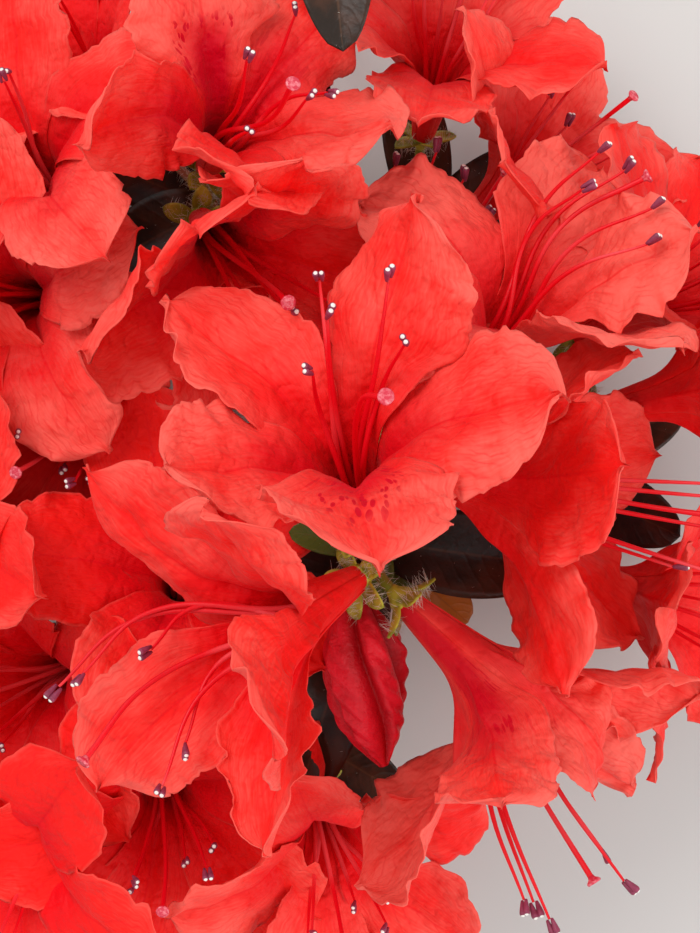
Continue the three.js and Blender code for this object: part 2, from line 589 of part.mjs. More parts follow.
// The main stem lies on the surface from its cut end, and each bough leaves it along the
// surface before it rises to its shoot. A path's third number is the height of the underside.
const STEM = {
  path: [[-104, -17, 0], [-62, -9, 0], [-20, -3, 0], [22, 1, 0]],
  radii: [3.3, 2.4],
};
const BOUGHS = {
  front: { path: [[-14, -5, 0], [-8, -13, 0.6], [1, -15, 14], [3.6, -13, 32]], radii: [1.9, 1.4] },
  back: { path: [[6, 3.5, 0], [9, 9, 1.6], [10, 10, 11.5]], radii: [1.8, 1.5] },
  top: { path: [[-2, -0.5, 0], [4, 22, 0], [11, 37, 0.1], [13.5, 42, 4.4]], radii: [2, 1.6] },
  crown: { path: [[-30, -1, 0], [-26, 20, 0], [-24, 37, 0.4], [-24, 44, 8.5]], radii: [2, 1.5] },
  left: { path: [[-72, -7, 0], [-62, 12, 0], [-51, 25, 0.1], [-48, 29, 3.4]], radii: [2, 1.5] },
  low: { path: [[-66, -13, 0], [-58, -24, 0], [-47, -32, 0.1], [-44, -33.6, 3]], radii: [1.9, 1.5] },
  foot: { path: [[-38, -9, 0], [-30, -24, 0], [-20, -38, 0], [-16.5, -43.5, 2]], radii: [1.9, 1.4] },
  right: { path: [[20, 1, 0], [27, 0.5, 1], [31, 0, 9.5]], radii: [2.1, 1.6] },
  tip: { path: [[-9, -1, 0], [-6, 42, 0], [-5, 78, 0.2], [-5, 90, 36]], radii: [1.9, 1.1] },
};

// Leaves of each shoot: plan angle, rise, length, half width, and how far below the knob.
const LEAVES = {
  front: [
    { az: 253, el: 6, long: 47, half: 6.5, below: 2 },
    { az: 352, el: 2, long: 30, half: 7, below: 4 },
    { az: 318, el: -12, long: 22, half: 5, below: 7 },
    { az: 215, el: -8, long: 26, half: 5.5, below: 6 },
    { az: 150, el: 0, long: 28, half: 6, below: 4 },
    { az: 60, el: -6, long: 24, half: 6, below: 8 },
  ],
  back: [
    { az: 20, el: 12, long: 26, half: 5.5, below: 3 },
    { az: 150, el: 4, long: 26, half: 5.5, below: 3 },
    { az: 280, el: 0, long: 22, half: 5, below: 4 },
  ],
  top: [
    { az: 100, el: 10, long: 30, half: 6, below: 2 },
    { az: 30, el: 6, long: 28, half: 6, below: 3 },
    { az: 335, el: 14, long: 26, half: 5.5, below: 3 },
    { az: 180, el: 10, long: 26, half: 6, below: 2 },
  ],
  crown: [
    { az: 215, el: 38, long: 30, half: 6.5, below: 2 },
    { az: 158, el: 8, long: 26, half: 5.5, below: 5 },
    { az: 330, el: 18, long: 26, half: 6, below: 4 },
    { az: 80, el: 8, long: 28, half: 6, below: 3 },
  ],
  left: [
    { az: 200, el: 16, long: 30, half: 6, below: 2 },
    { az: 260, el: 28, long: 26, half: 5.5, below: 2 },
    { az: 130, el: 10, long: 28, half: 6, below: 3 },
    { az: 20, el: 30, long: 24, half: 5.5, below: 2 },
  ],
  low: [
    { az: 180, el: 14, long: 28, half: 6, below: 2 },
    { az: 262, el: 12, long: 28, half: 6, below: 2 },
    { az: 20, el: 40, long: 26, half: 5.5, below: 2 },
    { az: 100, el: 30, long: 26, half: 6, below: 2 },
  ],
  foot: [
    { az: 330, el: 14, long: 30, half: 6, below: 2 },
    { az: 250, el: 10, long: 28, half: 6, below: 2 },
    { az: 40, el: 34, long: 26, half: 5.5, below: 2 },
  ],
  right: [
    { az: 335, el: 10, long: 30, half: 6.5, below: 2 },
    { az: 20, el: 6, long: 30, half: 6, below: 3 },
    { az: 275, el: 18, long: 28, half: 6, below: 3 },
  ],
  tip: [
    { az: 276, el: 12, long: 31, half: 6.2, below: 2 },
    { az: 20, el: 14, long: 26, half: 6, below: 3 },
    { az: 150, el: 14, long: 26, half: 6, below: 4 },
  ],
};

const bend = (path) => new THREE.CatmullRomCurve3(path.map((p) => vec(...p)));

// The middle line of a stem or bough: its underside is at the heights that its path gives.
function middleLine({ path, radii }, steps = 6) {
  const radius = (share) => mix(radii[0], radii[1], share);
  const line = bend(path.map(([x, y, z], i) => [x, y, z + radius(i / (path.length - 1))]));
  const points = line.getSpacedPoints(steps);
  points.forEach((p, i) => p.setZ(Math.max(p.z, radius(i / steps)) - SETTLE));
  return new THREE.CatmullRomCurve3(points);
}

// A leaf blade with a raised midrib line, from a narrow foot inside its twig to its tip.
function leafSolid(foot, leaf, grow = 0) {
  const a = rad(leaf.az);
  const side = vec(-Math.sin(a), Math.cos(a), 0);
  const middle = (t) => {
    const e = rad(leaf.el) + rad(14) - rad(34) * t;
    const way = vec(Math.cos(e) * Math.cos(a), Math.cos(e) * Math.sin(a), Math.sin(e));
    return foot.clone().addScaledVector(way, leaf.long * t);
  };
  const outline = (t) => leaf.half * Math.max(0.12, Math.pow(Math.sin(Math.PI * t ** 0.85), 0.8));
  const grid = [0, 0.3, 0.72].map((t) => {
    const point = middle(t);
    const along = middle(Math.min(1, t + 0.02)).sub(middle(Math.max(0, t - 0.02))).normalize();
    const normal = along.clone().cross(side).multiplyScalar(-1).normalize();
    return [-1, 0, 1].map((across) => ({
      point: point
        .clone()
        .addScaledVector(side, outline(t) * across)
        .addScaledVector(normal, 0.18 * outline(t) * Math.abs(across)),
      normal,
    }));
  });
  return bladeSolid(grid, middle(1), LEAF_THICK + 2 * grow);
}

// A leafy shoot: its twig goes on from the bough and ends in the knob, with its leaves fused on.
function shootSolid(name, taken) {
  const { at } = CLUSTERS[name];
  const bough = middleLine(BOUGHS[name]);
  const way = bough.getTangentAt(1);
  const start = bough.getPointAt(1).addScaledVector(way, CLEAR);
  const knob = vec(...at);
  const middle = start.clone().addScaledVector(way, start.distanceTo(knob) * 0.5);
  const curve = new THREE.QuadraticBezierCurve3(start, middle, knob.clone().add(vec(0, 0, 2.4)));
  const long = curve.getLength();
  const swell = (t) => {
    const below = Math.abs((1 - t) * long - 2.4);
    return Math.max(t < 1 ? 1.3 : 0.9, BUD_SCALE * Math.sqrt(Math.max(0, 1 - (below / 3.4) ** 2)));
  };
  let solid = limbSolid(curve, swell, 5, Math.max(4, Math.round(long / 3)));
  for (const leaf of LEAVES[name]) {
    const foot = curve.getPointAt(Math.max(0.1, 1 - (leaf.below + 3.4) / long));
    const blade = leafSolid(foot, leaf);
    const near = leafSolid(foot, leaf, CLEAR);
    const hits = taken.some((other) => near.intersect(other).volume() > 0.001);
    if (!hits) solid = solid.add(blade);
  }
  return solid.simplify(0.04);
}

// The closed bud below the front blooms: a furrowed spindle of rolled petals on its own stalk.
function budSolid(grow = 0) {
  const foot = [[3.6, -14.8, 52], [1.8, -18.5, 59], [1.6, -28, 60]];
  const curve = bend([...foot, [3.4, -38, 58.5], [5.3, -47, 56]]);
  const long = curve.getLength();
  const radiusAt = (t, j) => {
    const d = t * long - 9.5;
    const wide = Math.sin(Math.PI * THREE.MathUtils.clamp(d / (long - 8.5), 0, 1) ** 0.8);
    return Math.max(PEDICEL, 7 * wide * (j % 2 ? 0.84 : 1)) + grow;
  };
  return limbSolid(curve, radiusAt, 10, 9);
}

const solids = new Map();

// Keeps a solid clear of all that came before it, then adds it. grown is the same solid with
// its surface moved out by the clearance.
function place(name, look, solid, grown) {
  let kept = solid;
  for (const other of solids.values()) {
    if (kept.intersect(other.solid).volume() < 0.002) continue;
    kept = kept.subtract(other.grown);
    if (kept.intersect(other.solid).volume() > 0.002) kept = kept.subtract(other.solid);
  }
  const pieces = kept.simplify(0.1).decompose().sort((a, b) => b.volume() - a.volume());
  solids.set(name, { solid: pieces[0], grown, look });
}

function woodSolid(wood, sides, steps, grow = 0) {
  const radiusAt = (t) => mix(wood.radii[0], wood.radii[1], t) + grow;
  return limbSolid(middleLine(wood, steps), radiusAt, sides, steps).trimByPlane([0, 0, 1], 0);
}

place("main_stem", BARK, woodSolid(STEM, 8, 8), woodSolid(STEM, 8, 8, CLEAR));
for (const [name, bough] of Object.entries(BOUGHS)) {
  place("bough_" + name, BARK, woodSolid(bough, 6, 6), woodSolid(bough, 6, 6, CLEAR));
}
for (const [name, bloom] of Object.entries(BLOOMS)) {
  place("bloom_" + name, RED, bloomSolid(bloom), bloomSolid(bloom, CLEAR));
}
place("bud", CRIMSON, budSolid(), budSolid(CLEAR));
for (const name of Object.keys(CLUSTERS)) {
  const taken = [...solids.values()].map(({ solid }) => solid);
  place("leaves_" + name, LEAF, shootSolid(name, taken));
}

// The part's own origin is under its middle, on the surface.
const low = vec(Infinity, Infinity, Infinity);
const high = low.clone().negate();
for (const { solid } of solids.values()) {
  const { min, max } = solid.boundingBox();
  low.min(vec(...min));
  high.max(vec(...max));
}
const shift = vec((low.x + high.x) / 2, (low.y + high.y) / 2, low.z);

const part = new THREE.Group();
for (const [name, { solid, look }] of solids) {
  const mesh = solid.getMesh();
  const at = new Float32Array(mesh.numVert * 3);
  for (let i = 0; i < mesh.numVert; i++) {
    const p = vec(...mesh.vertProperties.subarray(i * mesh.numProp, i * mesh.numProp + 3));
    at.set(p.sub(shift).toArray(), i * 3);
  }
  const geometry = new THREE.BufferGeometry()
    .setAttribute("position", new THREE.BufferAttribute(at, 3))
    .setIndex(new THREE.BufferAttribute(mesh.triVerts, 1));
  const node = new THREE.Mesh(geometry, new THREE.MeshStandardMaterial(look));
  node.name = name;
  part.add(node);
}

export default part;
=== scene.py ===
import math

import bpy
import numpy as np
from mathutils import Matrix, Vector


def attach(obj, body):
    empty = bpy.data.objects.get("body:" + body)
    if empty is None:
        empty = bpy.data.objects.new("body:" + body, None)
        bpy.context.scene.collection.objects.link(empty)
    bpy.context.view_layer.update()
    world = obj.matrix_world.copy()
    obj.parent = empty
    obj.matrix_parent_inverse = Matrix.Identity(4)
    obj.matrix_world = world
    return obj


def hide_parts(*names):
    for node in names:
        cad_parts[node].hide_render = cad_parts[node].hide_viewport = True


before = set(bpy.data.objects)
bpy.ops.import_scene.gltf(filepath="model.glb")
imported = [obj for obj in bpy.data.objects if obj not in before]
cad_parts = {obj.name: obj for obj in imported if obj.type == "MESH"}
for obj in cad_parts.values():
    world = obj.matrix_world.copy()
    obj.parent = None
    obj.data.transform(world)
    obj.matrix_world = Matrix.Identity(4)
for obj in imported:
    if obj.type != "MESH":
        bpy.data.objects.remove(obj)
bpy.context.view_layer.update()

# The view is taken straight down over the flowers, from about a forearm's length above them.
# ORIGIN is the row's origin as seen from the point of the surface under the picture's middle.
MM = 0.001
ORIGIN = np.array([-12.33, 4.417, 0.0])
CAMERA_HEIGHT = 308
FOCAL_PX = 1610
PICTURE_LONG_SIDE = 933

camera = bpy.data.objects.new("camera", bpy.data.cameras.new("camera"))
camera.data.sensor_width = 36
camera.data.lens = camera.data.sensor_width * FOCAL_PX / PICTURE_LONG_SIDE
camera.data.clip_start = 0.01
camera.location = Vector((-ORIGIN[0], -ORIGIN[1], CAMERA_HEIGHT)) * MM
bpy.context.scene.collection.objects.link(camera)
bpy.context.scene.camera = camera

# Light and floor: a bright open sky, a broad panel high on the upper left that rounds the petals,
# and a plain pale surface under the branch.
SKY = (0.96, 0.97, 1.0, 1)
SKY_STRENGTH = 0.76
FLOOR = (0.62, 0.6, 0.57, 1)

world = bpy.data.worlds.new("open sky")
world.use_nodes = True
world.node_tree.nodes["Background"].inputs["Color"].default_value = SKY
world.node_tree.nodes["Background"].inputs["Strength"].default_value = SKY_STRENGTH
bpy.context.scene.world = world
bpy.context.scene.view_settings.view_transform = "Standard"
for name, place, side, power in (
    ("panel", (-0.45, 0.5, 0.9), 0.6, 5.6),
    ("fill", (0.8, -0.5, 0.7), 0.9, 6),
):
    lamp = bpy.data.objects.new(name, bpy.data.lights.new(name, "AREA"))
    lamp.data.size = side
    lamp.data.energy = power
    lamp.location = place
    lamp.rotation_euler = (-Vector(place)).to_track_quat("-Z", "Y").to_euler()
    bpy.context.scene.collection.objects.link(lamp)

bpy.ops.mesh.primitive_plane_add(size=6)
floor = bpy.context.object
floor.name = "floor"
paint = bpy.data.materials.new("pale floor")
paint.use_nodes = True
paint.node_tree.nodes["Principled BSDF"].inputs["Base Color"].default_value = FLOOR
paint.node_tree.nodes["Principled BSDF"].inputs["Roughness"].default_value = 0.8
floor.data.materials.append(paint)

# Wood. The main stem lies on the surface from its cut end, and each bough leaves it along the
# surface before it rises to its shoot. The bark is thin, grey-brown and finely furrowed.
# A path's third number is the height of the underside.
SETTLE = 0.3  # how far a limb is flattened underneath where it lies
STEM = {
    "path": [(-104, -17, 0), (-62, -9, 0), (-20, -3, 0), (22, 1, 0)],
    "radii": (3.3, 2.4),
}
BOUGHS = {
    "front": {"path": [(-14, -5, 0), (-8, -13, 0.6), (1, -15, 14), (3.6, -13, 32)], "radii": (1.9, 1.4)},
    "back": {"path": [(6, 3.5, 0), (9, 9, 1.6), (10, 10, 11.5)], "radii": (1.8, 1.5)},
    "top": {"path": [(-2, -0.5, 0), (4, 22, 0), (11, 37, 0.1), (13.5, 42, 4.4)], "radii": (2, 1.6)},
    "crown": {"path": [(-30, -1, 0), (-26, 20, 0), (-24, 37, 0.4), (-24, 44, 8.5)], "radii": (2, 1.5)},
    "left": {"path": [(-72, -7, 0), (-62, 12, 0), (-51, 25, 0.1), (-48, 29, 3.4)], "radii": (2, 1.5)},
    "low": {"path": [(-66, -13, 0), (-58, -24, 0), (-47, -32, 0.1), (-44, -33.6, 3)], "radii": (1.9, 1.5)},
    "foot": {"path": [(-38, -9, 0), (-30, -24, 0), (-20, -38, 0), (-16.5, -43.5, 2)], "radii": (1.9, 1.4)},
    "right": {"path": [(20, 1, 0), (27, 0.5, 1), (31, 0, 9.5)], "radii": (2.1, 1.6)},
    "tip": {"path": [(-9, -1, 0), (-6, 42, 0), (-5, 78, 0.2), (-5, 90, 36)], "radii": (1.9, 1.1)},
}
BARK_LIGHT = (0.13, 0.075, 0.045, 1)
BARK_DARK = (0.028, 0.016, 0.011, 1)


def add(tree, kind, inputs=None, **settings):
    """A node with its settings, whose inputs take plain values or other nodes' outputs."""
    made = tree.nodes.new(kind)
    for name, value in settings.items():
        setattr(made, name, value)
    for name, value in (inputs or {}).items():
        if isinstance(value, bpy.types.NodeSocket):
            tree.links.new(value, made.inputs[name])
        else:
            made.inputs[name].default_value = value
    return made


def calc(tree, operation, *values):
    return add(tree, "ShaderNodeMath", dict(enumerate(values)), operation=operation).outputs[0]


def times(tree, product, *factors):
    for factor in factors:
        product = calc(tree, "MULTIPLY", product, factor)
    return product


def total(tree, *terms):
    """The sum of terms that are given as (value, share)."""
    made = 0.0
    for value, share in terms:
        made = calc(tree, "MULTIPLY_ADD", value, share, made)
    return made


def ramp(tree, value, low, high):
    """0 below low and 1 above high, with a soft rise between; high may be the smaller one."""
    limits = {"Value": value, "From Min": low, "From Max": high}
    return add(tree, "ShaderNodeMapRange", limits, interpolation_type="SMOOTHSTEP").outputs[0]


def blend(tree, share, first, second):
    made = add(tree, "ShaderNodeMix", {0: share, 6: first, 7: second}, data_type="RGBA")
    return made.outputs[2]


def speckle(tree, place, scale, detail=2.0, distortion=0.0):
    """Soft noise from 0 to 1 at so many features a metre."""
    inputs = {"Vector": place, "Scale": scale, "Detail": detail, "Distortion": distortion}
    return add(tree, "ShaderNodeTexNoise", inputs).outputs[0]


def finish(name, roughness, **sockets):
    """A material, its tree, its shader and the place on the object. What is the same all over is
    set on the shader."""
    material = bpy.data.materials.new(name)
    material.use_nodes = True
    shader = material.node_tree.nodes["Principled BSDF"]
    shader.inputs["Roughness"].default_value = roughness
    for socket, value in sockets.items():
        shader.inputs[socket.replace("_", " ")].default_value = value
    place = add(material.node_tree, "ShaderNodeTexCoord").outputs["Object"]
    return material, material.node_tree, shader, place


def relief(tree, shader, height, depth):
    """Raises the surface by a height, of which 1 stands for so many millimetres."""
    bump = add(tree, "ShaderNodeBump", {"Height": height, "Distance": depth * MM})
    tree.links.new(bump.outputs[0], shader.inputs["Normal"])


def mottled(name, roughness, first, second, grain, detail, limits=None, pores=None, **sockets):
    """A finish that wanders between two colours at so many grains a metre. Pores are a fine relief
    given as (how many a metre, how deep)."""
    material, tree, shader, place = finish(name, roughness, **sockets)
    share = speckle(tree, place, grain, detail)
    if limits:
        share = ramp(tree, share, *limits)
    tree.links.new(blend(tree, share, first, second), shader.inputs["Base Color"])
    if pores:
        relief(tree, shader, speckle(tree, place, pores[0], 2), pores[1])
    return material


def geometry_tree(name, sizes):
    """A tree of geometry nodes with named inputs, given as name: (socket kind, plain value)."""
    tree = bpy.data.node_groups.new(name, "GeometryNodeTree")
    tree.interface.new_socket("Geometry", in_out="INPUT", socket_type="NodeSocketGeometry")
    tree.interface.new_socket("Geometry", in_out="OUTPUT", socket_type="NodeSocketGeometry")
    for label, (kind, value) in sizes.items():
        socket = tree.interface.new_socket(label, in_out="INPUT", socket_type="NodeSocket" + kind)
        if value is not None:
            socket.default_value = value
    return tree, tree.nodes.new("NodeGroupInput").outputs


def close_tree(tree, geometry, material):
    """Ends a tree as the export needs it: real faces that carry their material."""
    real = add(tree, "GeometryNodeRealizeInstances", {0: geometry})
    smooth = add(tree, "GeometryNodeSetShadeSmooth", {0: real.outputs[0]})
    dressed = add(tree, "GeometryNodeSetMaterial", {"Geometry": smooth.outputs[0], "Material": material})
    tree.links.new(dressed.outputs[0], tree.nodes.new("NodeGroupOutput").inputs[0])


def grow(name, source, tree, **sizes):
    """Runs a tree on an object and keeps the result as a plain mesh in its place."""
    modifier = source.modifiers.new(tree.name, "NODES")
    modifier.node_group = tree
    for socket in tree.interface.items_tree:
        if socket.in_out == "INPUT" and socket.name.replace(" ", "_").lower() in sizes:
            modifier[socket.identifier] = sizes[socket.name.replace(" ", "_").lower()]
    bpy.context.view_layer.update()
    evaluated = source.evaluated_get(bpy.context.evaluated_depsgraph_get())
    mesh = bpy.data.meshes.new_from_object(evaluated)
    bpy.data.objects.remove(source)
    mesh.name = name
    piece = bpy.data.objects.new(name, mesh)
    bpy.context.scene.collection.objects.link(piece)
    return piece


def lines(name, paths):
    """A curve object whose splines pass smoothly through rows of (x, y, z, radius)."""
    curve = bpy.data.curves.new(name, "CURVE")
    curve.dimensions = "3D"
    curve.resolution_u = 16
    for path in paths:
        spline = curve.splines.new("BEZIER")
        spline.bezier_points.add(len(path) - 1)
        for knot, (x, y, z, radius) in zip(spline.bezier_points, path):
            knot.co = Vector((x, y, z)) * MM
            knot.radius = radius * MM
            knot.handle_left_type = knot.handle_right_type = "AUTO"
    made = bpy.data.objects.new(name, curve)
    bpy.context.scene.collection.objects.link(made)
    return made


# The tree for everything long and round: it sweeps a ring along a line and roughens the surface.
limb_tree, given = geometry_tree(
    "limb along a line",
    {
        "Step": ("Float", 0.001),
        "Sides": ("Int", 12),
        "Relief": ("Float", 0.0),
        "Grain": ("Float", 500.0),
        "Material": ("Material", None),
    },
)
spaced = add(limb_tree, "GeometryNodeResampleCurve", {"Curve": given["Geometry"]}, mode="LENGTH")
limb_tree.links.new(given["Step"], spaced.inputs["Length"])
ring = add(limb_tree, "GeometryNodeCurvePrimitiveCircle", {"Resolution": given["Sides"], "Radius": 1})
width = add(limb_tree, "GeometryNodeInputRadius")
swept = add(
    limb_tree,
    "GeometryNodeCurveToMesh",
    {"Curve": spaced.outputs[0], "Profile Curve": ring.outputs[0], "Fill Caps": True},
)
limb_tree.links.new(width.outputs[0], swept.inputs["Scale"])
place = add(limb_tree, "GeometryNodeInputPosition")
grain = speckle(limb_tree, place.outputs[0], given["Grain"], detail=3)
lift = calc(limb_tree, "MULTIPLY", calc(limb_tree, "SUBTRACT", grain, 0.5), given["Relief"])
outward = add(limb_tree, "GeometryNodeInputNormal")
push = add(limb_tree, "ShaderNodeVectorMath", {0: outward.outputs[0]}, operation="SCALE")
limb_tree.links.new(lift, push.inputs["Scale"])
rough = add(limb_tree, "GeometryNodeSetPosition", {"Geometry": swept.outputs[0], "Offset": push.outputs[0]})
close_tree(limb_tree, rough.outputs[0], given["Material"])

bark, tree, shader, place = finish("bark", 0.85)
patches = ramp(tree, speckle(tree, place, 180, 4), 0.35, 0.65)
furrows = ramp(tree, speckle(tree, place, 900, 6, 1.5), 0.3, 0.7)
colour = blend(tree, calc(tree, "MULTIPLY", patches, furrows), BARK_DARK, BARK_LIGHT)
tree.links.new(colour, shader.inputs["Base Color"])
relief(tree, shader, furrows, 0.4)


def limb_line(limb):
    """A limb's middle line, with its radius at each point of its path."""
    last = len(limb["path"]) - 1
    radii = [limb["radii"][0] + (limb["radii"][1] - limb["radii"][0]) * i / last for i in range(last + 1)]
    return [(x - ORIGIN[0], y - ORIGIN[1], z + r - SETTLE, r) for (x, y, z), r in zip(limb["path"], radii)]


def above_floor(piece):
    """Presses flat whatever would reach below the surface."""
    for vertex in piece.data.vertices:
        vertex.co.z = max(vertex.co.z, 0)


stem = grow("stem", lines("stem", [limb_line(STEM)]), limb_tree, step=0.0011, sides=26,
            relief=0.0005, grain=420.0, material=bark)
boughs = grow("boughs", lines("boughs", [limb_line(bough) for bough in BOUGHS.values()]), limb_tree,
              step=0.0011, sides=20, relief=0.0004, grain=480.0, material=bark)
for piece in (stem, boughs):
    above_floor(piece)
    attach(piece, "root")
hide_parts("main_stem")
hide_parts(*("bough_" + name for name in BOUGHS))

# Petals. A bloom is a funnel of five coral-red petals that are one tube at the foot and part into
# broad lobes. The upper lobe has crimson dashes that lead into the throat. Each petal is bent,
# rolled and ruffled in its own way, thin as paper, with a crease along its middle.
TUBE = 18  # from the calyx to where the lobes part
TUBE_FOOT = 1.8  # radius of the tube at the calyx
TUBE_ANGLE = 9
LOBE = 31  # from the parting to the tip of a lobe
LOBE_HALF = 11.4  # half the width of a lobe at its widest
WIDEST = 0.46  # where that is, from the parting (0) to the tip (1)
SEAM = 1.05  # how wide a petal is in the tube, as a share of its fifth of the way round
OVERLAP = 1.26  # how far neighbours run under each other just above the parting
LAP = 0.5  # how far one edge of a petal lies outside its neighbour past the parting
SEAM_LAP = 0.11  # and how far in the tube
PETALS = 5
THICK = 0.42
CREASE = 0.75
CHANNEL = 1.3  # depth of the groove in which a lobe leaves the throat
CRINKLE = 0.6
PLAIN_PETAL = {
    "flare": 64,  # angle from the bloom's axis that the lobe opens to
    "curl": 18,  # what its tip adds to that
    "cup": 0.2,  # edges towards the axis, in radians at each edge
    "near": 0,  # how far its first edge rolls in (+) or back (-)
    "far": 0,  # how far its other edge is turned
    "wave": 1.2,  # height of the ruffle at the edge
}

